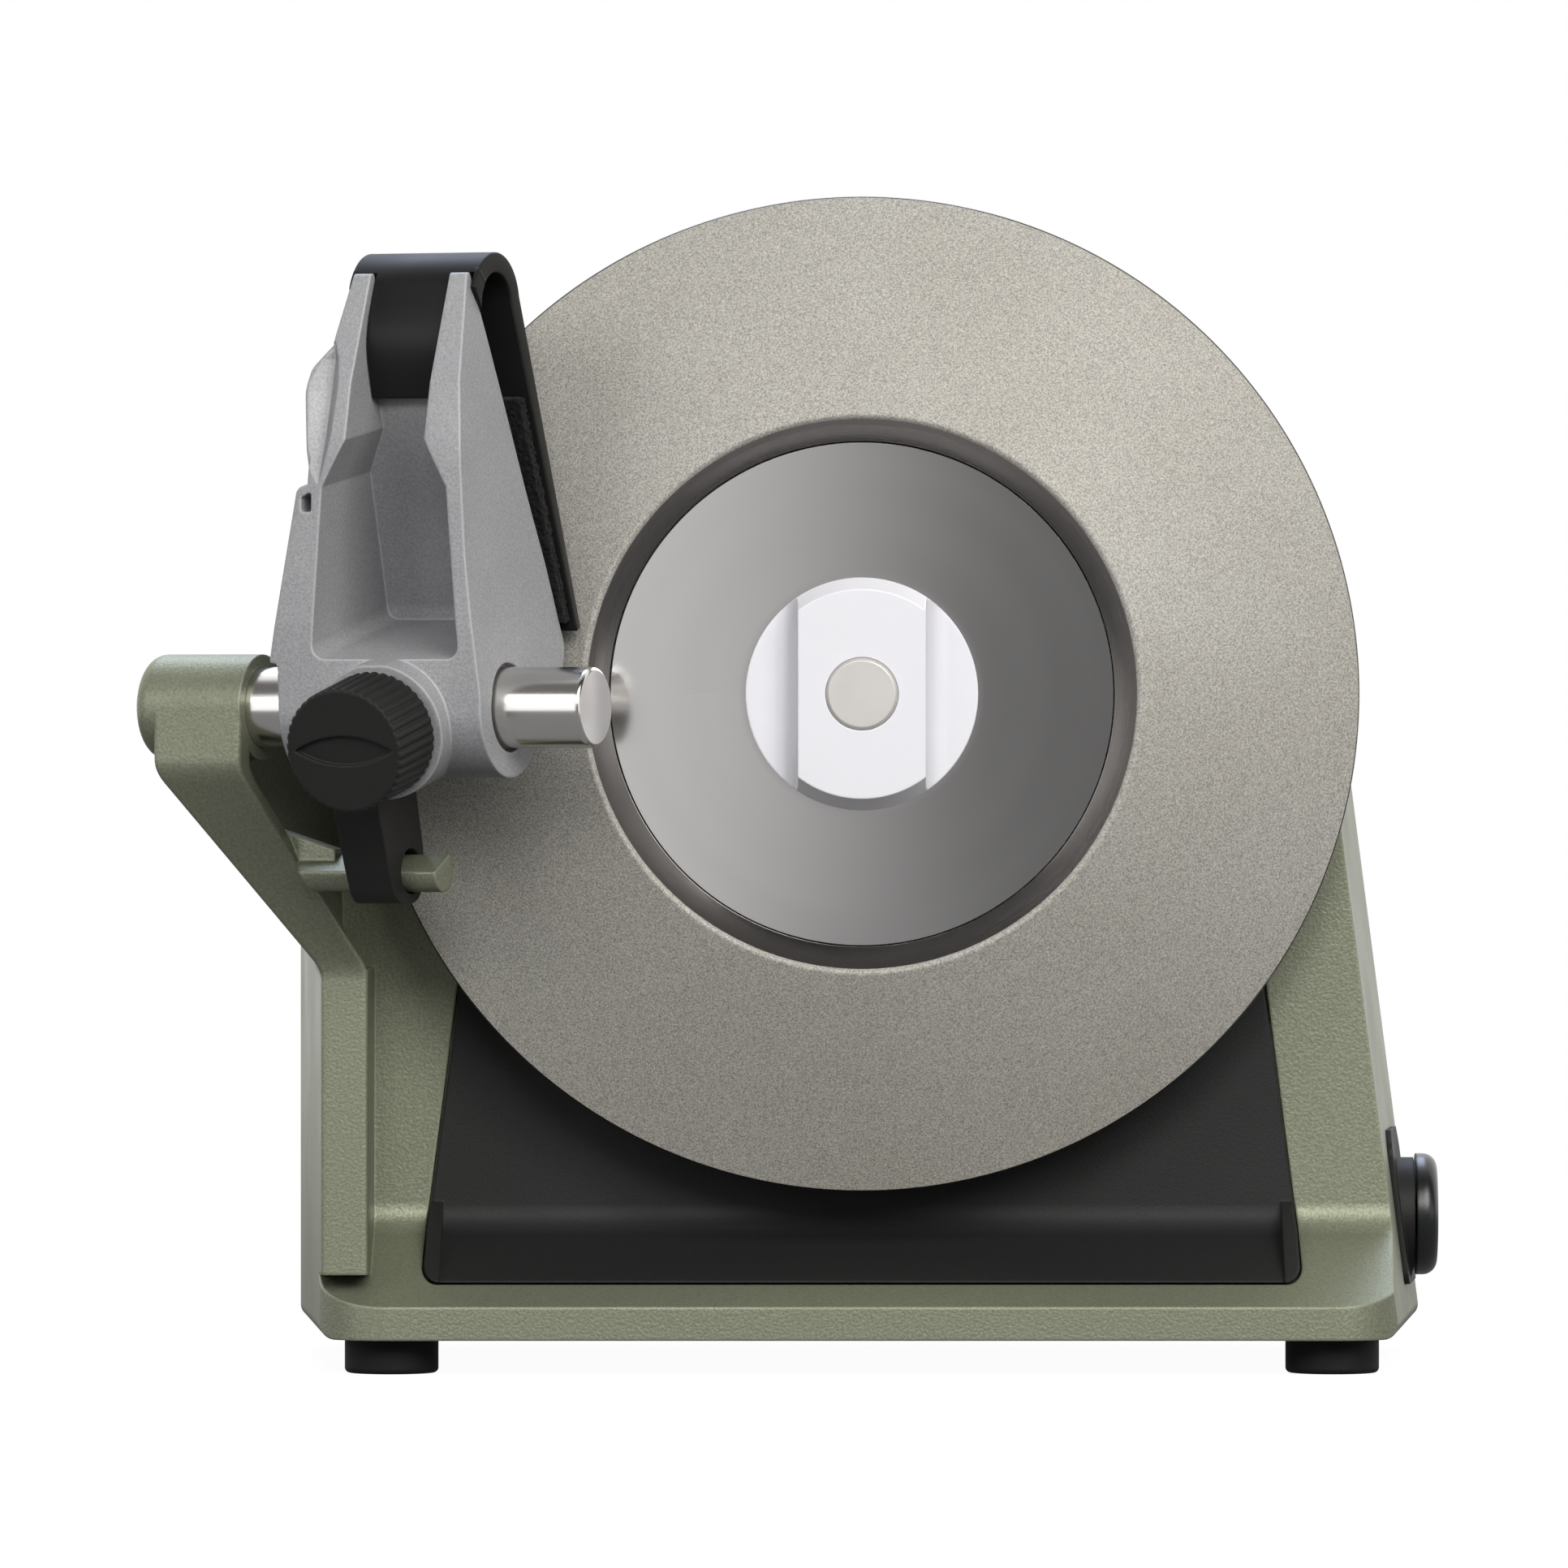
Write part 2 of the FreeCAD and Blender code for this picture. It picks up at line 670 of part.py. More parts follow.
def build_motor():
    """Flat motor on the plate that closes the gear space."""
    x, z = MOTOR
    on_motor = MACHINE * Placement(Vector(x, 0, z), Rotation())
    bore = "Sizes.motor_shaft_radius + Sizes.running_gap"
    inside = "Sizes.motor_radius - Sizes.motor_wall"
    can = turned_body("motor_can", [
        (bore, PLATE_BACK),
        ("Sizes.motor_radius", PLATE_BACK),
        ("Sizes.motor_radius", CAN_BACK),
        ("0", CAN_BACK),
        ("0", CAN_BACK + " - Sizes.shaft_end_gap + 0.1"),
        (bore, CAN_BACK + " - Sizes.shaft_end_gap + 0.1"),
        (bore, CAN_BACK + " - Sizes.motor_wall"),
        (inside, CAN_BACK + " - Sizes.motor_wall"),
        (inside, PLATE_BACK + " + Sizes.motor_wall"),
        (bore, PLATE_BACK + " + Sizes.motor_wall"),
    ])
    finish(can, "motor_can", on_motor)

    core_front = PLATE_BACK + " + Sizes.motor_wall + Sizes.rotor_gap"
    core_back = CAN_BACK + " - Sizes.motor_wall - Sizes.rotor_gap"
    rotor = turned_body("motor_rotor", [
        ("0", "Sizes.idler_gear_front - 1"),
        ("Sizes.motor_shaft_radius", "Sizes.idler_gear_front - 1"),
        ("Sizes.motor_shaft_radius", core_front),
        ("Sizes.rotor_radius", core_front),
        ("Sizes.rotor_radius", core_back),
        ("Sizes.motor_shaft_radius", core_back),
        ("Sizes.motor_shaft_radius", CAN_BACK + " - Sizes.shaft_end_gap"),
        ("0", CAN_BACK + " - Sizes.shaft_end_gap"),
    ])
    finish(rotor, "motor_rotor", on_motor)

    plate_front = size("motor_plate_front")
    plate_back = value_of(PLATE_BACK)
    shaft = size("motor_shaft_radius")
    left, right = POSTS[0][0], POSTS[1][0]
    low = POSTS[2][1]
    edge = size("post_radius") + 1
    outline = [(left - edge, low - edge, 4), (right + edge, low - edge, 4),
               (right + edge, IDLER[1] + 2 * edge, 4), (left - edge, IDLER[1] + 2 * edge, 4)]
    plate = prism(outline, at_depth(plate_front), Vector(0, size("motor_plate_thickness"), 0))
    ix, iz = IDLER
    holes = [y_rod(shaft + 1.5, x, z, plate_front - 1, plate_back + 1),
             y_rod(size("axle_radius") + size("seat_gap"), ix, iz, plate_front - 1, plate_back + 1)]
    holes += [y_rod(size("screw_radius") + size("seat_gap"), px, pz, plate_front - 1, plate_back + 1)
              for px, pz in POSTS]
    add_shape("motor_plate", cut(plate, *holes))

    screws = [screw(px, pz, plate_back, plate_back - 14) for px, pz in POSTS]
    add_shape("plate_screws", Part.makeCompound(screws))


def screw(x, z, seat, tip):
    """Pan head screw along Y. The head stands behind its seat and the shank runs forward to its tip."""
    head = y_rod(size("screw_head_radius"), x, z, seat, seat + size("screw_head_height"))
    shank = y_rod(size("screw_radius"), x, z, tip, seat)
    return fuse(head, shank)


# Housing casting.

low_post = size("base_bottom") + size("post_rise")
POSTS = [
    (size("post_left"), size("post_top")), (size("post_right"), size("post_top")),
    (size("post_left") + size("post_inset"), low_post), (size("post_right") - size("post_inset"), low_post),
]
low_corner = size("base_bottom") + size("corner_rise")
CORNERS = [
    (size("corner_left"), low_corner), (size("corner_right"), low_corner),
    (size("corner_left") + 1, size("corner_top")), (size("corner_right") - 1, size("corner_top")),
]


def left_wall(y):
    return -(size("left_half_width") + (y - size("panel_depth")) * tan_deg(size("side_flare")))


def right_wall(y, z):
    return (size("right_half_width") + (y - size("panel_depth")) * tan_deg(size("side_flare"))
            - (z - size("ledge_bend")) * tan_deg(size("right_slope")))


def wall_corners(y, inset, low, high):
    """Four corners of the housing's section at one depth, drawn inset from the outer walls."""
    return [
        Vector(left_wall(y) + inset, y, low), Vector(right_wall(y, low) - inset, y, low),
        Vector(right_wall(y, high) - inset, y, high), Vector(left_wall(y) + inset, y, high),
    ]


def wall_block(front, back, top_radius, foot_radius):
    """Flat-sided block between two sections, with its long edges rounded."""
    faces = [Part.Face(Part.makePolygon(section + section[:1])) for section in (front, back)]
    for index in range(4):
        after = (index + 1) % 4
        side = [front[index], front[after], back[after], back[index]]
        faces.append(Part.Face(Part.makePolygon(side + side[:1])))
    shell = Part.makeShell(faces)
    shell.sewShape()
    block = Part.makeSolid(shell)
    top = max(point.z for point in front + back)
    middle = (front[0].z + top) / 2

    def lengthways(solid):
        return [e for e in solid.Edges if e.BoundBox.YLength > 1 and e.BoundBox.ZLength < top - middle]

    block = block.makeFillet(top_radius, [e for e in lengthways(block) if e.BoundBox.ZMin > middle])
    return block.makeFillet(foot_radius, [e for e in lengthways(block) if e.BoundBox.ZMax < middle])


def ledge_height(y):
    """Height of the sloping ledge between the panel and the front lip."""
    lip_top = size("base_bottom") + size("lip_height")
    share = (size("panel_depth") - y) / (size("panel_depth") - size("lip_depth"))
    return size("ledge_bend") + share * (lip_top - size("ledge_bend"))


def insert_outline(extra):
    """Front view of the insert, wider towards the base, grown by extra all round."""
    foot_z = ledge_height(size("insert_front"))
    slope = tan_deg(size("insert_slope"))
    half_foot = size("insert_half_width") + (size("ledge_bend") - foot_z) * slope / 4 + extra
    half_bend = size("insert_half_width") + extra
    half_top = size("insert_half_width") - (size("insert_top") - size("ledge_bend")) * slope + extra
    return [
        (-half_foot, foot_z - extra, 2.5),
        (half_foot, foot_z - extra, 2.5),
        (half_bend, size("ledge_bend"), 0),
        (half_top, size("insert_top") + extra, 4),
        (-half_top, size("insert_top") + extra, 4),
        (-half_bend, size("ledge_bend"), 0),
    ]


def insert_band(outer, inner):
    """Side view of a skin that follows the panel and the ledge between two depths below them."""
    top = size("housing_top")
    panel = size("panel_depth")
    slope = math.atan2(ledge_height(panel) - ledge_height(size("lip_depth")), panel - size("lip_depth"))
    drop_outer = outer / math.cos(slope)
    drop_inner = inner / math.cos(slope)
    lip = size("lip_depth") - 20
    corners = [
        (panel + outer, top, 0),
        (panel + inner, top, 0),
        (panel + inner, ledge_height(panel + inner) - drop_inner, max(size("bend_radius") - inner, 0.6)),
        (lip, ledge_height(lip) - drop_inner, 0),
        (lip, ledge_height(lip) - drop_outer, 0),
        (panel + outer, ledge_height(panel + outer) - drop_outer, max(size("bend_radius") - outer, 0.6)),
    ]
    return prism(corners, at_side(-FAR / 2), Vector(FAR, 0, 0))


BEND_STEPS = 6


def arm_blank():
    """Left arm of the casting: column, leaning band, web and the boss for the bar."""
    front = size("column_front")
    panel = size("panel_depth")
    outer_x = left_wall(front)
    inner_x = outer_x + size("column_width")
    top = size("column_top")
    edge = size("arm_edge_round")
    column_plan = [(left_wall(front), front, edge), (inner_x, front, edge),
                   (inner_x, panel + 1, 0), (left_wall(panel + 1), panel + 1, 0)]
    column = prism(column_plan, at_height(size("column_bottom")), Vector(0, 0, top - size("column_bottom")))

    radius = size("boss_radius")
    drop = size("arm_top")

    def in_machine(s, u):
        return guide_centre + ALONG_BAR * s + BEHIND_BAR * u

    def level(points, z):
        corners = [Vector(p.x, p.y, z) for p in points]
        return Part.makePolygon(corners + corners[:1])

    left_s, right_s = -size("boss_outer"), -size("boss_inner")
    band_back = -radius + size("arm_band")
    band_s = -size("band_start")
    upper_band = [in_machine(band_s, -radius), in_machine(right_s, -radius),
                  in_machine(right_s, band_back), in_machine(band_s, band_back)]
    back = front + size("arm_band")
    lower_band = [Vector(outer_x, front, 0), Vector(inner_x, front, 0),
                  Vector(inner_x, back, 0), Vector(left_wall(back), back, 0)]
    upper_bend, lower_bend = size("upper_bend"), size("lower_bend")
    fall = drop - top

    def leaning(upper, lower, rounds, start):
        """Loft that falls upright from a start height, leans to its lower place and stands again."""
        places = [(start, 0)]
        for step in range(BEND_STEPS + 1):
            t = step / BEND_STEPS
            places.append((drop + upper_bend * (1 - 2 * t), upper_bend / fall * t * t))
        for step in range(BEND_STEPS + 1):
            t = 1 - step / BEND_STEPS
            places.append((top - lower_bend * (1 - 2 * t), 1 - lower_bend / fall * t * t))
        sections = []
        for z, share in places:
            corners = [a * (1 - share) + b * share for a, b in zip(upper, lower)]
            sections.append(rounded_wire([(p.x, p.y, r) for p, r in zip(corners, rounds)], at_height(z)))
        return Part.makeLoft(sections, True, True)

    band = leaning(upper_band, lower_band, (edge, edge, 0, 0), -size("bar_drop"))
    thick = size("arm_web")
    corner_x = left_wall(panel + 1)
    upper_web = [in_machine(band_s, band_back - 1), in_machine(band_s + thick, band_back - 1),
                 Vector(corner_x + thick, panel + 1, 0), Vector(corner_x, panel + 1, 0)]
    lower_web = [Vector(left_wall(front + 1), front + 1, 0), Vector(outer_x + thick, front + 1, 0),
                 Vector(corner_x + thick, panel + 1, 0), Vector(corner_x, panel + 1, 0)]
    web = leaning(upper_web, lower_web, (0, 0, 0, 0), -size("bar_drop") + radius * 0.7)

    boss = rod(radius, Vector(left_s, 0, 0), Vector(right_s, 0, 0))
    boss = boss.makeFillet(size("boss_round"), [e for e in boss.Edges if e.BoundBox.XMax < left_s + 0.01])
    boss.Placement = GUIDE_IN_MACHINE * boss.Placement
    beyond = FAR / 10
    inside = size("arm_band") / 2
    left_of_band = ALONG_BAR * -beyond
    before, behind = BEHIND_BAR * -beyond, BEHIND_BAR * inside
    upper_front = [upper_band[0] + left_of_band + before, upper_band[1] + before,
                   upper_band[1] + behind, upper_band[0] + left_of_band + behind]
    lower_front = [Vector(outer_x - beyond, front - beyond, 0), Vector(inner_x, front - beyond, 0),
                   Vector(inner_x, front + inside, 0), Vector(outer_x - beyond, front + inside, 0)]
    in_front_of_band = loft(level(upper_front, drop), level(lower_front, top))
    return fuse(column, band, web, boss), in_front_of_band, in_machine


def rail_blank(in_machine, in_front_of_band):
    """Anti-turn rail with a flat, parallel to the bar, and the gusset that carries it on the arm's side."""
    radius = size("rail_radius")
    lower = Vector(0, 0, -size("rail_drop"))
    start = in_machine(-size("boss_inner") - size("rail_root"), size("rail_back")) + lower
    end = in_machine(size("rail_end"), size("rail_back")) + lower
    rail = rod(radius, start, end)
    flat = Part.makeBox(FAR, FAR, FAR, Vector(-FAR / 2, -FAR / 2, size("rail_flat")))
    flat.rotate(Vector(0, 0, 0), Vector(1, 0, 0), 27)
    flat.Placement = Placement(start, GUIDE_IN_MACHINE.Rotation) * flat.Placement
    root, foot = -size("boss_inner"), -size("gusset_reach")
    low = -size("rail_drop")
    gusset_side = [(root, low, 0), (foot, low, 0),
                   (foot, low + radius, 0), (root, low + size("gusset_rise"), 0)]
    gusset = prism(gusset_side, at_depth(size("rail_back")), Vector(0, size("gusset_thickness"), 0))
    gusset.Placement = GUIDE_IN_MACHINE * gusset.Placement
    return fuse(rail.cut(flat), gusset).cut(in_front_of_band)


def build_housing():
    """Die-cast housing with the arm, open at the back."""
    low = size("base_bottom")
    high = size("housing_top")
    back = size("housing_back")
    lip = size("lip_depth")
    panel = size("panel_depth")
    wall = size("side_wall")
    inside = panel + size("front_wall")
    body = wall_block(wall_corners(lip, 0, low, high), wall_corners(back, 0, low, high),
                      size("top_corner"), 2.0)
    in_front = [
        (lip - 20, high + 5, 0), (panel, high + 5, 0), (panel, size("ledge_bend"), size("bend_radius")),
        (lip, ledge_height(lip), 0), (lip - 20, ledge_height(lip), 0),
    ]
    body = body.cut(prism(in_front, at_side(-FAR / 2), Vector(FAR, 0, 0)))
    corner = size("lip_corner")
    plan = [
        (left_wall(lip), lip, corner), (right_wall(lip, low), lip, corner),
        (right_wall(back, low), back, 0), (left_wall(back), back, 0),
    ]
    body = body.common(prism(plan, at_height(low - 1), Vector(0, 0, high - low + 10)))
    hollow = wall_block(wall_corners(inside, wall, low + wall, high - wall),
                        wall_corners(back + 1, wall, low + wall, high - wall), size("top_corner") - wall, 1.0)
    body = body.cut(hollow)

    arm, in_front_of_band, in_machine = arm_blank()
    rail = rail_blank(in_machine, in_front_of_band)
    bearing_back = inside + size("bearing_width")
    boss_front = panel - 1.5
    post = size("post_radius")
    added = [arm, rail, y_rod(size("bearing_radius") + size("bearing_wall"), 0, 0, boss_front, bearing_back)]
    added += [y_rod(post, x, z, panel + 1, size("motor_plate_front")) for x, z in POSTS]
    added += [y_rod(post, x, z, panel + 1, back) for x, z in CORNERS]
    ix, iz = IDLER
    added.append(y_rod(size("axle_radius") + 2.5, ix, iz, panel + 3, bearing_back + 3.5))
    body = fuse(body, *added)

    removed = [
        y_rod(size("bearing_radius"), 0, 0, inside, bearing_back + 1),
        y_rod(size("shaft_radius") + 2, 0, 0, boss_front - 1, inside + 1),
        y_rod(size("axle_radius") + size("seat_gap"), ix, iz, inside, bearing_back + 5),
        rod(size("bar_radius") + size("seat_gap"), in_machine(-size("boss_outer") + size("boss_floor"), 0),
            in_machine(0, 0)),
    ]
    band = insert_band(-40.0, size("insert_thickness"))
    pocket = prism(insert_outline(size("insert_gap")), at_depth(lip - 10), Vector(0, panel - lip + 30, 0))
    removed.append(band.common(pocket))
    hole = size("screw_radius") + size("seat_gap")
    removed += [y_rod(hole, x, z, size("motor_plate_front") - 12, size("motor_plate_front") + 1)
                for x, z in POSTS]
    removed += [y_rod(hole, x, z, back - 16, back + 1) for x, z in CORNERS]
    for x, y in foot_places():
        removed.append(rod(hole, Vector(x, y, low - 1), Vector(x, y, low + size("foot_hole_depth"))))
    sx = right_wall(size("switch_depth"), size("switch_height"))
    removed.append(rod(5.3, Vector(sx - 20, size("switch_depth"), size("switch_height")),
                       Vector(sx + 5, size("switch_depth"), size("switch_height"))))
    body = cut(body, *removed)
    add_shape("housing", body)


def build_insert():
    """Black insert that lines the panel and the ledge, with a low cheek at each end of its trough."""
    drop = size("insert_drop")
    skin = insert_band(0.25, size("insert_thickness") - size("seat_gap"))
    outline = prism(insert_outline(0), at_depth(size("lip_depth") - 10), Vector(0, FAR / 2, 0))
    skin = skin.common(outline)
    front = size("insert_front")
    panel = size("panel_depth") + 0.4
    bend = size("ledge_bend")
    wedge = sharp([(panel, bend + size("cheek_rise") + drop), (front, ledge_height(front) + 0.1),
                   (front + 3, ledge_height(front + 3) - 1.4), (panel + 1, bend - 1.0)])
    cheeks = []
    for side in (-1, 1):
        inner = size("insert_half_width") - size("cheek_width") - 0.6
        start = inner if side > 0 else -inner - 6
        cheeks.append(prism(wedge, at_side(start), Vector(6, 0, 0)).common(outline))
    add_shape("front_insert", fuse(skin, *cheeks))

    back = size("panel_depth") + size("front_wall")
    magnet_z = size("ledge_bend") + size("magnet_rise")
    magnets = [y_rod(size("magnet_radius"), side * size("magnet_x"), magnet_z, back, back + 2.5)
               for side in (-1, 1)]
    add_shape("insert_magnets", Part.makeCompound(magnets))


def build_cover():
    """Rear cover with the second bearing seat, vents and the cord hole."""
    low = size("base_bottom")
    high = size("housing_top")
    front = size("housing_back")
    back = front + size("cover_depth")
    inset = size("cover_inset")
    wall = size("cover_wall")
    corner = size("top_corner")
    body = wall_block(wall_corners(front, 0, low, high),
                      wall_corners(back, inset, low + inset, high - inset), corner, 2.0)
    inner_back = inset + wall
    hollow = wall_block(wall_corners(front - 0.01, wall, low + wall, high - wall),
                        wall_corners(back - wall, inner_back, low + inner_back, high - inner_back),
                        corner - wall, 1.0)
    body = body.cut(hollow)
    seat = back - size("bearing_wall") - size("bearing_width")
    post = size("post_radius")
    added = [y_rod(size("bearing_radius") + size("bearing_wall"), 0, 0, seat, back - 1)]
    added += [y_rod(post, x, z, front, back - 1) for x, z in CORNERS]
    body = fuse(body, *added)
    removed = [
        y_rod(size("bearing_radius"), 0, 0, seat - 1, back - size("bearing_wall")),
        y_rod(size("shaft_radius") + 2, 0, 0, seat, back + 1),
        y_rod(size("gland_neck") + 0.1, GLAND[0], GLAND[1], back - wall - 1, back + 1),
    ]
    hole = size("screw_radius") + size("seat_gap")
    for x, z in CORNERS:
        removed.append(y_rod(hole, x, z, front - 1, back + 1))
        removed.append(y_rod(size("screw_head_radius") + 0.3, x, z, back - 2.6, back + 1))
    half_width = size("vent_width") / 2
    count = int(size("vent_count"))
    vent_low = low + size("vent_rise")
    vent_high = vent_low + size("vent_height")
    vent_round = half_width * 0.95
    for index in range(count):
        x = size("vent_shift") + (index - (count - 1) / 2) * size("vent_pitch")
        slot = [(x - half_width, vent_low, vent_round), (x + half_width, vent_low, vent_round),
                (x + half_width, vent_high, vent_round), (x - half_width, vent_high, vent_round)]
        removed.append(prism(slot, at_depth(back - wall - 1), Vector(0, wall + 2, 0)))
    add_shape("rear_cover", cut(body, *removed))

    screws = [screw(x, z, back - 2.6, front - 14) for x, z in CORNERS]
    add_shape("cover_screws", Part.makeCompound(screws))

    gland = turned_body("cord_gland", [
        ("Sizes.gland_bore", COVER_BACK + " - Sizes.cover_wall - 1.5"),
        ("Sizes.gland_neck", COVER_BACK + " - Sizes.cover_wall - 1.5"),
        ("Sizes.gland_neck", COVER_BACK),
        ("Sizes.gland_radius", COVER_BACK),
        ("Sizes.gland_radius - 0.8", COVER_BACK + " + Sizes.gland_lip"),
        ("Sizes.gland_bore", COVER_BACK + " + Sizes.gland_lip"),
    ])
    finish(gland, "cord_gland", MACHINE * Placement(Vector(GLAND[0], 0, GLAND[1]), Rotation()))


GLAND = (size("gland_x"), size("base_bottom") + size("gland_rise"))


def foot_places():
    front_x, front_y = size("foot_x"), size("foot_y")
    rear_x, rear_y = size("rear_foot_x"), size("rear_foot_y")
    return [(-front_x, front_y), (front_x, front_y), (-rear_x, rear_y), (rear_x, rear_y)]


def build_feet():
    """Four rubber feet, each held by a screw from below."""
    low = size("base_bottom")
    height = size("foot_height")
    radius = size("foot_radius")
    edge = size("foot_edge")
    feet = []
    screws = []
    for x, y in foot_places():
        below = Vector(x, y, low - height)
        foot = Part.makeCylinder(radius, height, below)
        foot = foot.makeFillet(edge, [e for e in foot.Edges if abs(e.BoundBox.ZMax - low + height) < 0.01])
        pocket = Part.makeCylinder(size("screw_head_radius") + 0.3, size("foot_pocket"), below)
        passage = Part.makeCylinder(size("screw_radius") + size("seat_gap"), height, below)
        feet.append(cut(foot, pocket, passage))
        seat = Vector(0, 0, size("foot_pocket"))
        head_height = Vector(0, 0, size("foot_head"))
        head = Part.makeCylinder(size("screw_head_radius"), size("foot_head"), below + seat - head_height)
        shank = Part.makeCylinder(size("screw_radius"), size("foot_shank"), below + seat)
        screws.append(fuse(head, shank))
    add_shape("rubber_feet", Part.makeCompound(feet))
    add_shape("foot_screws", Part.makeCompound(screws))


# Bar and knife guide.


def build_bar():
    bar = turned_body("support_bar", [
        ("-Sizes.boss_outer + Sizes.boss_floor", "0"),
        ("Sizes.bar_reach", "0"),
        ("Sizes.bar_reach", "Sizes.bar_radius - Sizes.bar_chamfer"),
        ("Sizes.bar_reach - Sizes.bar_chamfer", "Sizes.bar_radius"),
        ("-Sizes.boss_outer + Sizes.boss_floor", "Sizes.bar_radius"),
    ], "H_Axis")
    finish(bar, "support_bar", GUIDE)


def guide_back(w):
    """Rear face of the guide, in front of which the blade lies: u at a height w above the bar."""
    return size("guide_heel_back") - (w - size("guide_heel_height")) * tan_deg(size("guide_tilt"))


LEAF_CENTRE = (size("leaf_loop_back"), size("leaf_loop_height"))


def leaf_seat():
    """Rear side of the leaf's front leg: u of the seat on the casting."""
    return LEAF_CENTRE[0] - size("leaf_loop_radius") + size("leaf_thickness")


def ear_hollow():
    """Tool for the lens-shaped hollow of the ear: a V whose crease runs down between two shallow faces.

    Each section lies at one height w. It gives the crease, the hollow's edge on the rib and its edge on
    the ear's rim, each as (s, u), and the V runs on in front of the casting.
    """
    sections = [
        (33.2, (-10.8, -11.2), (-10.2, -11.9), (-11.3, -11.6)),
        (40.0, (-10.8, -8.6), (-8.8, -11.0), (-12.6, -10.0)),
        (47.0, (-10.7, -6.7), (-8.2, -9.6), (-13.4, -8.5)),
        (51.5, (-10.5, -6.0), (-8.9, -7.8), (-12.2, -7.0)),
        (55.0, (-10.2, -6.4), (-9.8, -6.9), (-10.6, -6.8)),
    ]
    beyond = 3.0
    wires = []
    for w, crease, rib, rim in sections:
        bottom = Vector(crease[0], crease[1], w)
        ends = [bottom + (Vector(edge[0], edge[1], w) - bottom) * beyond for edge in (rib, rim)]
        wires.append(Part.makePolygon([bottom] + ends + [bottom]))
    return Part.makeLoft(wires, True, True)


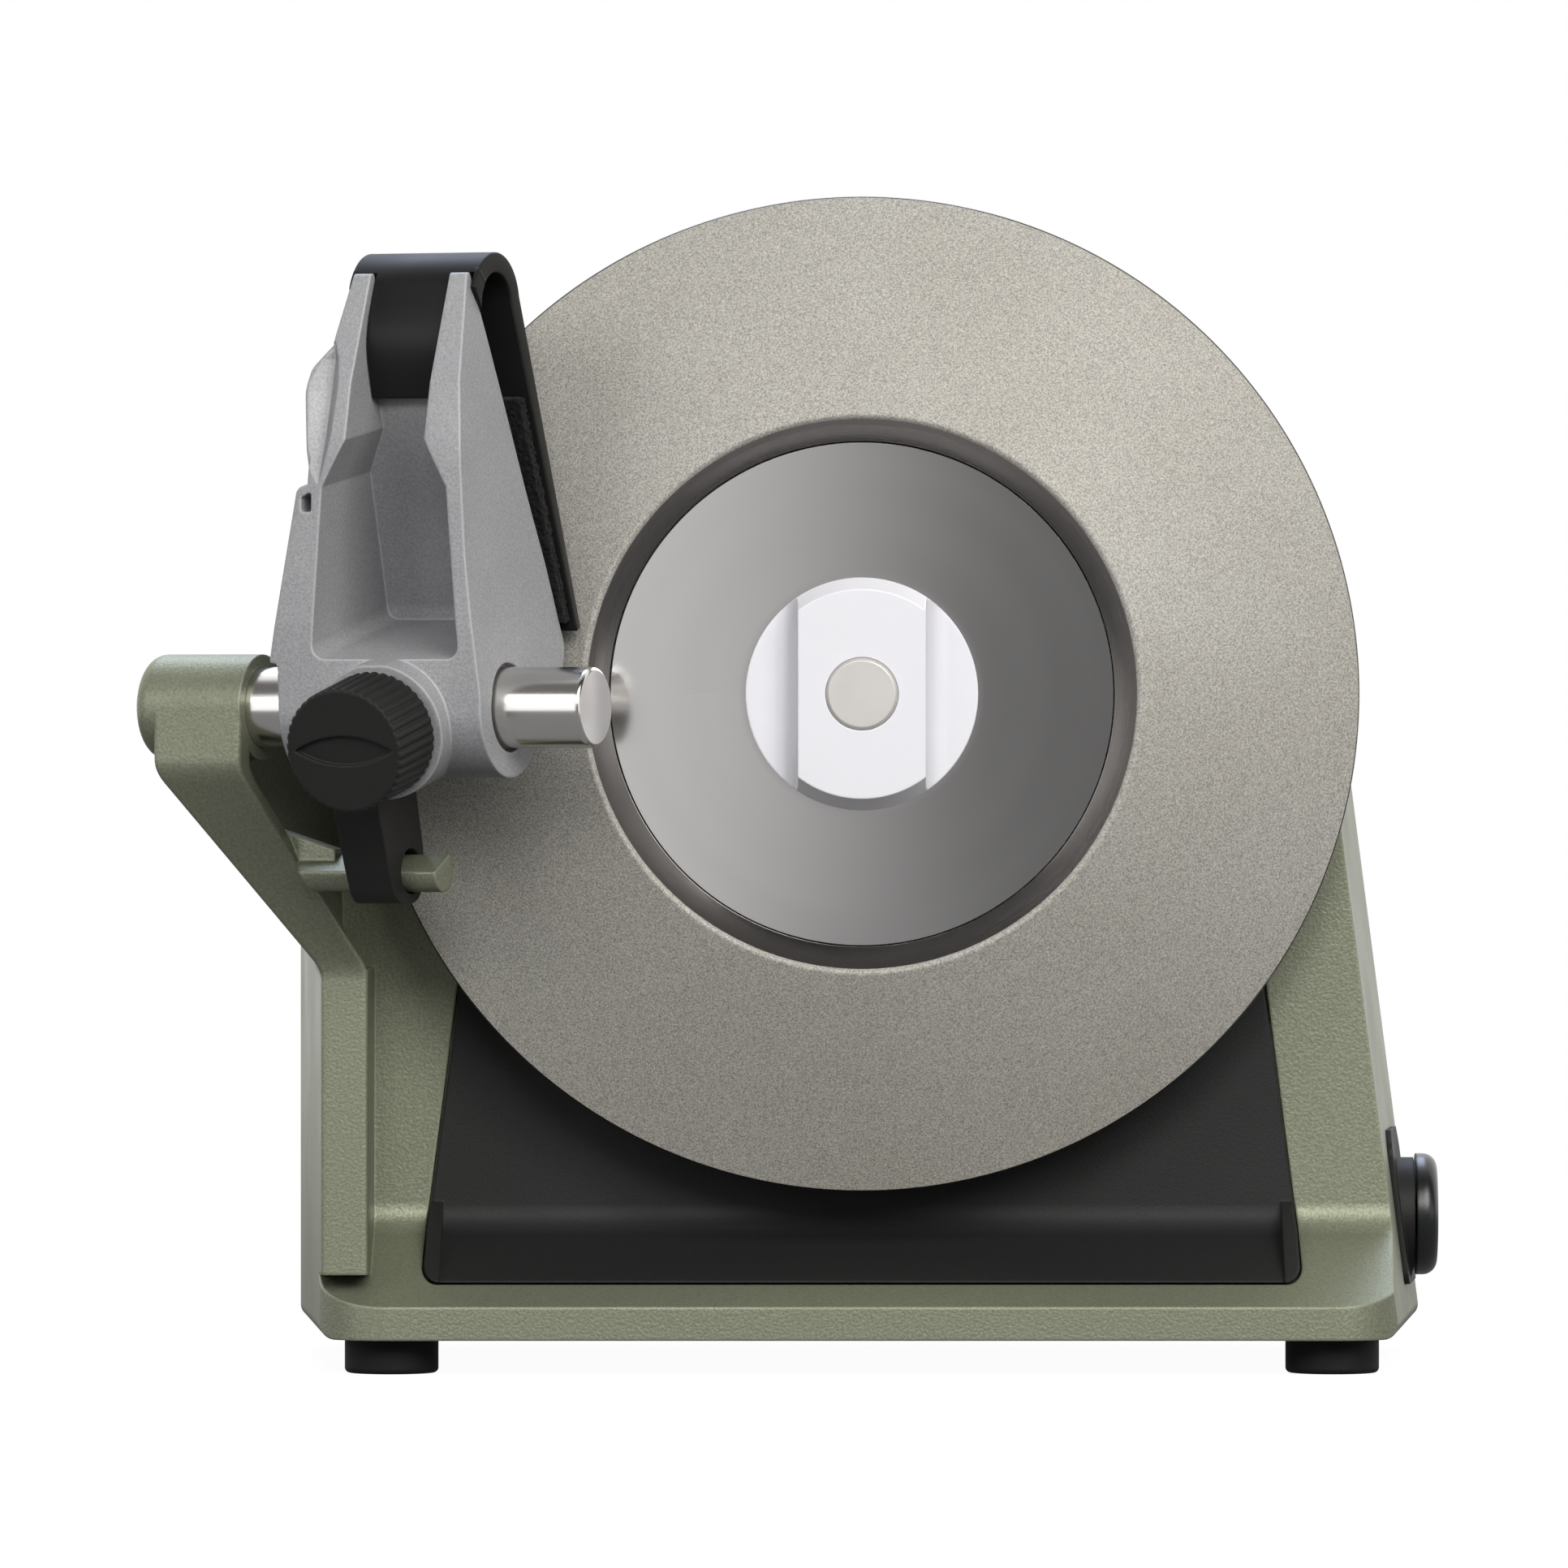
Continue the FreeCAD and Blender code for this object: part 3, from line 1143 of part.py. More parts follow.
def build_guide_casting():
    """Cast knife guide: round foot on the bar, tilted rear face and a deep open front."""
    foot = size("guide_foot_radius")
    peak = size("guide_peak")
    half = size("guide_half_width")
    left = size("guide_left_width")
    peak_half = size("guide_peak_width")
    heel = size("guide_heel_height")
    back = size("guide_heel_back")
    side = [
        (-foot, 0, 0), (-11.2, 12, 6), (-11.4, 38, 20), (-9.0, 48, 0), (-2.2, peak, 0.8),
        (guide_back(peak), peak, 0.5), (guide_back(heel), heel, 4), (back - 2.5, 2.5, 6), (foot * 0.8, -1, 0),
        (0, 0, 0),
    ]
    block = prism(side, at_side(-40), Vector(80, 0, 0))
    block = fuse(block, rod(foot, Vector(-40, 0, 0), Vector(40, 0, 0)))
    def front_view(low, heel_half, middle, upper, top, u):
        return rounded_wire([
            (-left, -20, 0), (half, -20, 0), (low, 2, 0), (heel_half, 22, 40), (middle, 39, 30),
            (upper, 55, 30), (top, peak + 1, 0),
            (-top, peak + 1, 0), (-upper, 55, 0), (-middle, 33, 0),
            (-14.2, 32.4, 1.5), (-19.0, 6.6, 0.4), (-left, 6.4, 0), (-left, 2, 0),
        ], at_depth(u))

    outline = loft(front_view(half, half - 2.2, half - 2.8, half - 4.8, peak_half, -16),
                   front_view(half - 0.1, half - 1.5, half - 4.0, half - 5.5, peak_half - 0.85, 26))
    block = block.common(outline)

    waist = size("cavity_waist")
    waist_z = size("waist_height")
    wide = size("cavity_half_width")
    rise = sin_deg(size("crease_rise"))
    slope = tan_deg(size("floor_rise"))

    def cavity_view(u):
        floor = size("cavity_floor") + (u + foot) * slope
        crease = waist_z + (u + foot) * rise
        shoulder = waist_z - size("shoulder_drop") + (u + foot) * rise
        return rounded_wire([
            (-wide, floor, 2.0), (wide, floor, 2.0), (wide - 1.9, shoulder, 0), (waist, crease, 0),
            (waist, peak + 5, 0), (-waist, peak + 5, 0), (-waist, crease, 0), (-wide + 1.9, shoulder, 0),
        ], at_depth(u))

    cavity = loft(cavity_view(-30), cavity_view(30))
    plate = size("guide_plate")
    seat = leaf_seat() + size("seat_gap")
    seat_foot = size("leaf_leg_foot") - size("leaf_thickness") / 2
    floor_back = size("floor_back")
    floor_high = size("cavity_floor") + (floor_back + foot) * slope
    depth_side = [
        (-30, 0, 0), (floor_back, 0, 0), (floor_back, floor_high, 0.5),
        (guide_back(floor_high + 2) - plate, floor_high + 2, 3), (seat, seat_foot, 6),
        (seat, peak + 8, 0), (-30, peak + 8, 0),
    ]
    cavity = cavity.common(prism(depth_side, at_side(-40), Vector(80, 0, 0)))

    ear_view = [
        (-7.5, 55.5, 0), (-10.9, 53.5, 2), (-13.6, 50.2, 3), (-14.1, 46.6, 6), (-13.1, 39.2, 8),
        (-12.1, 32.6, 0), (-7.5, 32.6, 0),
    ]
    ear_side = sharp([(-10.9, 30), (-10.7, 38), (-8.4, 48), (-4.2, 58), (2, 58), (2, 30)])
    ear = prism(ear_view, at_depth(-13), Vector(0, 16, 0))
    ear = ear.common(prism(ear_side, at_side(-40), Vector(80, 0, 0)))
    notch = prism([(-13.6, 28.9, 0.4), (-11.9, 28.9, 0.4), (-11.9, 32.0, 0.4), (-13.6, 31.0, 0.4)],
                  at_depth(-14), Vector(0, 8, 0))

    knob_boss = rod(size("knob_boss_radius"), Vector(0, size("lever_gap"), 0), Vector(0, 9, 0))
    knob_boss.Placement = KNOB_IN_GUIDE * knob_boss.Placement
    body = fuse(block, ear, knob_boss)

    bore = size("bar_radius") + size("running_gap")
    deep = size("counterbore_depth")
    counter = size("counterbore_radius")
    gap = size("lever_gap")
    lever_right = size("lever_width") - size("lever_left") + gap
    lever_span = size("lever_width") + 2 * gap
    slot_start = -size("lever_left") - gap
    slot = fuse(
        rod(size("lever_hub_radius") + gap, Vector(slot_start, 0, 0), Vector(lever_right, 0, 0)),
        Part.makeBox(lever_span, 2 * FAR, FAR, Vector(slot_start, -FAR, size("lever_slot_top") - FAR)),
    )
    spindle = rod(size("spindle_radius") + size("running_gap"), Vector(0, -5, 0), Vector(0, 12, 0))
    spindle.Placement = KNOB_IN_GUIDE * spindle.Placement
    body = cut(body, cavity, ear_hollow(), notch, slot, spindle,
               rod(bore, Vector(-40, 0, 0), Vector(40, 0, 0)),
               rod(counter, Vector(half - deep, 0, 0), Vector(half + 10, 0, 0)),
               rod(counter, Vector(-left - 10, 0, 0), Vector(-left + deep, 0, 0)))
    add_shape("guide_casting", body, GUIDE)


def build_leaf():
    """U-shaped leaf: narrow front leg between the peaks, wide loop over them, flared rear leg, felt."""
    thick = size("leaf_thickness")
    outer = size("leaf_loop_radius")
    inner = outer - thick
    tilt = size("leaf_tilt")
    u, w = LEAF_CENTRE
    frame = Placement(Vector(0, u, w), Rotation(Vector(1, 0, 0), tilt))
    loop_half = size("leaf_loop_width")
    leg_half = size("leaf_leg_width")
    foot_half = size("leaf_foot_width")
    foot_drop = (w - size("leaf_foot_height")) / cos_deg(tilt)
    start = Vector(-loop_half, u, w)
    across = Vector(2 * loop_half, 0, 0)

    loop = rod(outer, start, start + across).cut(rod(inner, start - across, start + across * 2))
    below_front = Part.makeBox(FAR, FAR, FAR, Vector(-FAR / 2, u + inner / 2 - FAR, w - FAR))
    below_rear = Part.makeBox(FAR, FAR, FAR, Vector(-FAR / 2, 0, -FAR))
    below_rear.Placement = frame
    loop = cut(loop, below_front, below_rear)
    foot = size("leaf_leg_foot")
    leg_top = w + outer * 0.3
    leg_view = [(-leg_half, foot, 1.6), (leg_half, foot, 1.6),
                (leg_half, leg_top, 0), (-leg_half, leg_top, 0)]
    face = u - outer
    bow = size("leaf_bow")
    bow_height = (foot + w) / 2 + 2
    leg_side = [
        (face, foot, 0), (face - bow, bow_height, 9), (face + 0.4, leg_top, 0),
        (face + thick + 0.4, leg_top, 0), (face + thick - bow, bow_height, 6), (face + thick, foot, 0),
    ]
    leg = prism(leg_view, at_depth(face - outer), Vector(0, 3 * outer, 0))
    leg = leg.common(prism(leg_side, at_side(-FAR / 2), Vector(FAR, 0, 0)))
    bevel = size("leaf_bevel")
    rear_inner = [(-foot_half, -foot_drop, 0.6), (foot_half, -foot_drop, 0.6), (loop_half, 0, 0),
                  (-loop_half, 0, 0)]
    rear_outer = [(-foot_half + bevel, -foot_drop, 0.6), (foot_half - bevel, -foot_drop, 0.6),
                  (loop_half, 0, 0), (-loop_half, 0, 0)]
    rear = loft(rounded_wire(rear_inner, at_depth(inner)), rounded_wire(rear_outer, at_depth(outer)))
    rear.Placement = frame
    leaf = fuse(loop, leg, rear)
    rest = size("guide_peak") + size("seat_gap")
    notches = [Part.makeBox(FAR, outer, FAR, Vector(side, u - outer - 1, rest - FAR))
               for side in (-FAR - leg_half, leg_half)]
    add_shape("guide_leaf", cut(leaf, *notches), GUIDE)

    inset = size("felt_inset")
    rise = size("felt_height")
    low = -foot_drop + inset
    high_half = foot_half - (foot_half - loop_half) * (rise + inset) / foot_drop
    felt_view = sharp([(-foot_half + inset, low), (foot_half - inset, low),
                       (high_half - inset, low + rise), (-high_half + inset, low + rise)])
    felt = prism(felt_view, at_depth(inner - size("felt_thickness")), Vector(0, size("felt_thickness"), 0))
    felt.Placement = frame
    add_shape("felt_pad", felt, GUIDE)


def build_lever():
    """Lever that stops the guide's carriage turning: a hub on the bar and an eye on the rail."""
    left = -size("lever_left")
    width = size("lever_width")
    hub = size("lever_hub_radius")
    foot = size("lever_foot_radius")
    eye = (size("rail_back"), -size("rail_drop"))
    outline = [
        (-hub, 0, 0), (-8.4, -14.6, 6), (-4.1, -24.3, 0), (-1.6, -29.1, 3.4),
        (eye[0] + foot - 0.4, eye[1] - foot - 0.2, foot * 0.9), (eye[0] + foot - 0.4, eye[1] + 3, 6),
        (4.4, -11.0, 3), (hub, 0, 0),
    ]
    arm = prism(outline, at_side(left), Vector(width, 0, 0))
    lever = fuse(arm, rod(hub, Vector(left, 0, 0), Vector(left + width, 0, 0)))
    bore = size("bar_radius") + size("running_gap")
    right = left + width
    lever = cut(lever, rod(bore, Vector(left - 1, 0, 0), Vector(right + 1, 0, 0)),
                rod(size("lever_hole_radius"), Vector(left - 1, *eye), Vector(right + 1, *eye)))
    add_shape("anti_turn_lever", lever, GUIDE)


def build_angle_knob():
    """Fluted knob that sets the guide's angle, with its steel spindle."""
    body = turned_body("angle_knob", [
        ("0", "0"),
        ("Sizes.knob_radius - 0.6", "0"),
        ("Sizes.knob_radius", "-0.6"),
        ("Sizes.knob_radius", "-Sizes.knob_length + Sizes.knob_rim"),
        ("Sizes.knob_radius - Sizes.knob_rim * 0.3", "-Sizes.knob_length + Sizes.knob_rim * 0.3"),
        ("Sizes.knob_radius - Sizes.knob_rim", "-Sizes.knob_length"),
        ("0", "-Sizes.knob_length"),
    ])
    flute = body.newObject("Sketcher::SketchObject", "flute")
    flute.AttachmentSupport = [(origin_plane(body, "XZ_Plane"), "")]
    flute.MapMode = "FlatFace"
    reach = size("knob_radius") + size("flute_reach")
    flute.addGeometry(Part.Circle(Vector(reach, 0, 0), Vector(0, 0, 1), size("flute_radius")), False)
    radius_pin = flute.addConstraint(Sketcher.Constraint("Radius", 0, size("flute_radius")))
    flute.setExpression("Constraints[%d]" % radius_pin, "Sizes.flute_radius")
    flute.addConstraint(Sketcher.Constraint("PointOnObject", 0, 3, -1))
    reach_pin = flute.addConstraint(Sketcher.Constraint("DistanceX", -1, 1, 0, 3, reach))
    flute.setExpression("Constraints[%d]" % reach_pin, "Sizes.knob_radius + Sizes.flute_reach")
    before = body.Shape.Volume
    groove = body.newObject("PartDesign::Pocket", "flute_cut")
    groove.Profile = flute
    groove.Type = 1
    groove.Midplane = True
    doc.recompute()
    if body.Shape.Volume >= before:
        raise RuntimeError("the knob's flute cuts nothing")
    pattern = body.newObject("PartDesign::PolarPattern", "flutes")
    pattern.Originals = [groove]
    pattern.Axis = (flute, ["N_Axis"])
    pattern.Angle = 360
    pattern.setExpression("Occurrences", "Sizes.knob_flutes")
    body.Tip = pattern
    doc.recompute()

    slot = body.newObject("Sketcher::SketchObject", "grip_slot")
    slot.AttachmentSupport = [(origin_plane(body, "XZ_Plane"), "")]
    slot.MapMode = "FlatFace"
    half_width = size("grip_slot_width") / 2
    half_height = size("grip_slot_height") / 2
    for side in (-1, 1):
        ends = [Vector(-half_width, 0, 0), Vector(0, side * half_height, 0), Vector(half_width, 0, 0)]
        slot.addGeometry(Part.Arc(*ends), False)
    slot.addConstraint(Sketcher.Constraint("Coincident", 0, 2, 1, 1))
    slot.addConstraint(Sketcher.Constraint("Coincident", 0, 1, 1, 2))
    slot.addConstraint(Sketcher.Constraint("PointOnObject", 0, 1, -1))
    slot.addConstraint(Sketcher.Constraint("PointOnObject", 0, 2, -1))
    for pin in (Sketcher.Constraint("DistanceX", 0, 1, -1, 1, half_width),
                Sketcher.Constraint("DistanceX", -1, 1, 0, 2, half_width)):
        slot.setExpression("Constraints[%d]" % slot.addConstraint(pin), "Sizes.grip_slot_width / 2")
    arc_radius = "(%s * %s + %s * %s) / (4 * %s)" % (
        ("Sizes.grip_slot_width",) * 2 + ("Sizes.grip_slot_height",) * 3)
    for arc in (0, 1):
        pin = slot.addConstraint(Sketcher.Constraint("Radius", arc, value_of(arc_radius)))
        slot.setExpression("Constraints[%d]" % pin, arc_radius)
    slot.setExpression("AttachmentOffset.Base.z", "Sizes.knob_length")
    doc.recompute()
    before = body.Shape.Volume
    recess = body.newObject("PartDesign::Pocket", "grip_recess")
    recess.Profile = slot
    recess.setExpression("Length", "Sizes.grip_slot_depth")
    doc.recompute()
    if body.Shape.Volume >= before:
        raise RuntimeError("the knob's grip recess cuts nothing")
    finish(body, "angle_knob", KNOB)

    reach = ("Sizes.knob_seat * cos(Sizes.knob_tilt) + Sizes.knob_drop * sin(Sizes.knob_tilt)"
             " - Sizes.lever_hub_radius - Sizes.lever_gap")
    spindle = turned_body("knob_spindle", [
        ("0", "0"), ("Sizes.spindle_radius", "0"), ("Sizes.spindle_radius", reach), ("0", reach),
    ])
    finish(spindle, "knob_spindle", KNOB)


# Switch and the small electrical pieces.


def wall_frame():
    """Frame on the right wall at the switch: X out of the wall, Y back along it, Z up it."""
    y, z = size("switch_depth"), size("switch_height")
    along = Vector(tan_deg(size("side_flare")), 1, 0).normalize()
    up = Vector(-tan_deg(size("right_slope")), 0, 1)
    out = along.cross(up).normalize()
    up = out.cross(along)
    return Placement(Vector(right_wall(y, z), y, z), Rotation(out, along, up, "XYZ"))


def build_switch():
    y, z = size("switch_depth"), size("switch_height")
    frame = wall_frame()
    face = size("switch_face")
    knob_radius = size("switch_knob_radius")
    half = size("switch_plate_half")
    plate_low, plate_top = size("switch_plate_low"), size("switch_plate_top")
    shoulder = size("switch_plate_shoulder")
    corner = size("switch_plate_corner")
    outline = [(-half, plate_low, corner), (half, plate_low, corner),
               (half, shoulder, 1.5 * corner), (half - 1.5 * corner, plate_top, 0),
               (-half + 1.5 * corner, plate_top, 0), (-half, shoulder, 1.5 * corner)]
    plate = prism(outline, at_side(0), Vector(size("switch_plate"), 0, 0))
    plate.Placement = frame
    collar_back = Vector(face - size("switch_collar_length"), y, z)
    collar = rod(knob_radius - size("switch_collar_step"), collar_back, Vector(face, y, z))
    inward = Part.makeBox(FAR, FAR, FAR, Vector(-FAR, -FAR / 2, -FAR / 2))
    inward.Placement = frame
    plate = fuse(plate, collar.cut(inward))
    plate = plate.cut(rod(size("switch_collar_bore"), Vector(face - FAR, y, z), Vector(face + 1, y, z)))
    add_shape("switch_plate", plate)

    wall_inside = right_wall(y, z) - size("side_wall") - 2.0
    deep, body_half = size("switch_depth_inside"), size("switch_body_half")
    switch = Part.makeBox(deep, 2 * body_half, 2 * body_half,
                          Vector(wall_inside - deep, y - body_half, z - body_half))
    gap, stem_radius = size("switch_knob_gap"), size("switch_stem")
    neck = rod(size("switch_neck"), Vector(wall_inside - 1, y, z), Vector(face - gap, y, z))
    stem = rod(stem_radius + size("running_gap"), Vector(wall_inside + 1, y, z), Vector(face + 1, y, z))
    add_shape("switch_body", cut(fuse(switch, neck), stem))

    knob_back = face + gap
    thick = size("switch_knob_thickness")
    knob = rod(knob_radius, Vector(knob_back, y, z), Vector(knob_back + thick, y, z))
    rim = [e for e in knob.Edges if e.BoundBox.XMin > knob_back + thick - 0.01]
    knob = knob.makeFillet(size("switch_knob_round"), rim)
    knob = fuse(knob, rod(stem_radius, Vector(wall_inside + 1.5, y, z), Vector(knob_back + 1, y, z)))
    add_shape("switch_knob", knob)

    floor = size("base_bottom") + size("side_wall")
    board_x, thickness = size("board_x"), size("board_thickness")
    board = Part.makeBox(thickness, size("board_depth"), size("board_height"),
                         Vector(board_x, size("board_front"), floor))
    add_shape("control_board", board)
    radius = size("capacitor_radius")
    capacitor_x = board_x + thickness + radius + 0.1
    capacitor = y_rod(radius, capacitor_x, size("capacitor_z"),
                      size("capacitor_front"), size("capacitor_back"))
    add_shape("capacitor", capacitor)


def build_all():
    build_housing()
    build_cover()
    build_insert()
    build_feet()
    build_bar()
    bearing("front_bearing", FRONT_BEARING)
    bearing("rear_bearing", REAR_BEARING)
    build_spindle()
    lock_nut("front_lock_nut", HUB_FACE, -1)
    lock_nut("rear_lock_nut", HONING_BACK, 1)
    build_gears()
    build_motor()
    build_switch()
    build_guide_casting()
    build_leaf()
    build_lever()
    build_angle_knob()


def check_and_write():
    """Stop on any failed object, then write one STEP file for each sub-part."""
    doc.recompute()
    for item in doc.Objects:
        if "Invalid" in item.State or "Error" in item.State:
            raise RuntimeError("%s failed: %s" % (item.Label, item.State))
    for node in NODES:
        if node.Shape.isNull() or not node.Shape.isValid():
            raise RuntimeError("%s has no valid shape" % node.Label)
    os.makedirs("parts", exist_ok=True)
    for node in NODES:
        node.Shape.exportStep(os.path.join("parts", node.Label + ".step"))
        print("%-18s %8.1f mm3, %d solids" % (node.Label, node.Shape.Volume, len(node.Shape.Solids)))


build_all()
check_and_write()
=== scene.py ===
"""Looks of a two-wheel bench knife sharpener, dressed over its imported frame.

Lengths are in millimetres until a mesh is made. Each sub-assembly is a class whose fields are its own
sizes. Points are worked out in the machine frame: the shaft's axis is the line X = 0, Z = 0, the
wheel's rim lies in the plane Y = 0, and +Y points back into the housing.
"""

import json
import logging
import math
from dataclasses import dataclass
from enum import Enum
from functools import lru_cache
from typing import Any, Dict, List, Optional, Sequence, Tuple

import bmesh
import bpy
import numpy as np
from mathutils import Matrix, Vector

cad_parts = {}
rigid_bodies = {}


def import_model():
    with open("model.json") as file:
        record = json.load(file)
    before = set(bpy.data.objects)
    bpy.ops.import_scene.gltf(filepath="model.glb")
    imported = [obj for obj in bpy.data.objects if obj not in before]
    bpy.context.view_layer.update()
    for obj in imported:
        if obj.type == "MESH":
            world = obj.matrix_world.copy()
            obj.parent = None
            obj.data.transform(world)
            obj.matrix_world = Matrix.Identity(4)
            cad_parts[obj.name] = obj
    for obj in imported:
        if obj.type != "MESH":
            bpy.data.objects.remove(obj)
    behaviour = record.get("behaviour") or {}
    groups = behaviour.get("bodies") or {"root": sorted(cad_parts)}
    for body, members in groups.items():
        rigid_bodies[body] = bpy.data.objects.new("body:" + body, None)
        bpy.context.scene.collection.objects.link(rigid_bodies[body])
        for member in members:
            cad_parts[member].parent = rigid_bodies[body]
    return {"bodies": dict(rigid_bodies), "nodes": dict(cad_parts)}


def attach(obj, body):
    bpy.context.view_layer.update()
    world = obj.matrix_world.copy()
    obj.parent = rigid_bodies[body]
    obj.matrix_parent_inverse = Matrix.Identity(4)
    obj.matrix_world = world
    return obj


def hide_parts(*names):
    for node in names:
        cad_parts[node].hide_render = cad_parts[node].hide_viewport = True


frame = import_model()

Tree = bpy.types.NodeTree
Node = bpy.types.Node
Socket = bpy.types.NodeSocket
Material = bpy.types.Material
Piece = bpy.types.Object

LOG = logging.getLogger("sharpener")
MM = 0.001
# Where the machine frame's origin lies in the part's frame, in millimetres.
MACHINE_ORIGIN = np.array([10.2, -33.9, 102.0])
# Side of the photograph, in pixels.
PHOTO_SIDE = 1932

# Spans of a noise between which patches shift the colour, and between which grains and patches shift the
# brightness and the roughness.
PATCH_SPAN = (0.35, 0.65)
NOISE_SPAN = (0.3, 0.7)
# Cosines between the rounded and the flat normal where the painted edge highlight starts, and where it is
# full.
EDGE_HIGHLIGHT_SPAN = (0.995, 0.90)
# How far a turned pattern drifts for each radian, in metres, so its lines run almost round the shaft.
LINE_DRIFT = 0.0006
# The least roughness of a finish, the roughness of a clear coat, and the samples of a rounded edge.
SMOOTHEST = 0.02
COAT_ROUGHNESS = 0.2
BEVEL_SAMPLES = 6

# Steps round a turned piece, and on each rounded corner of a strip's section.
TURNS = 256
CORNER_STEPS = 5
# Distances under which a point counts as on the axis, in millimetres, and under which two points count
# as one and an edge as none, in metres.
ON_AXIS = 1e-6
SAME_PLACE = 1e-7
NO_EDGE = 1e-8


def srgb_to_linear(code: str) -> Tuple[float, float, float, float]:
    """Turns an sRGB hex value to linear red, green, blue and alpha.

    Args:
        code: six hex digits after a hash sign.

    Returns:
        The linear colour with full alpha.
    """
    shares = [int(code[i:i + 2], 16) / 255 for i in (1, 3, 5)]
    linear = [c / 12.92 if c <= 0.04045 else ((c + 0.055) / 1.055) ** 2.4 for c in shares]
    return (linear[0], linear[1], linear[2], 1.0)


def add_node(tree: Tree, kind: str, inputs: Optional[Dict[Any, Any]] = None, **settings: Any) -> Node:
    """Adds one node with its settings, and links or fills its inputs.

    Args:
        tree: the node tree that gets the node.
        kind: the node's type name.
        inputs: input names or numbers, each with a socket to link from or a value to hold.
        **settings: the node's own properties.

    Returns:
        The new node.
    """
    node = tree.nodes.new(kind)
    for key, value in settings.items():
        setattr(node, key, value)
    for key, value in (inputs or {}).items():
        if isinstance(value, Socket):
            tree.links.new(value, node.inputs[key])
        else:
            node.inputs[key].default_value = value
    return node


class Lay(Enum):
    """How the fine lines or grains of a surface lie."""

    GRAIN = "grain"
    TURNED = "turned"
    FIBRE = "fibre"


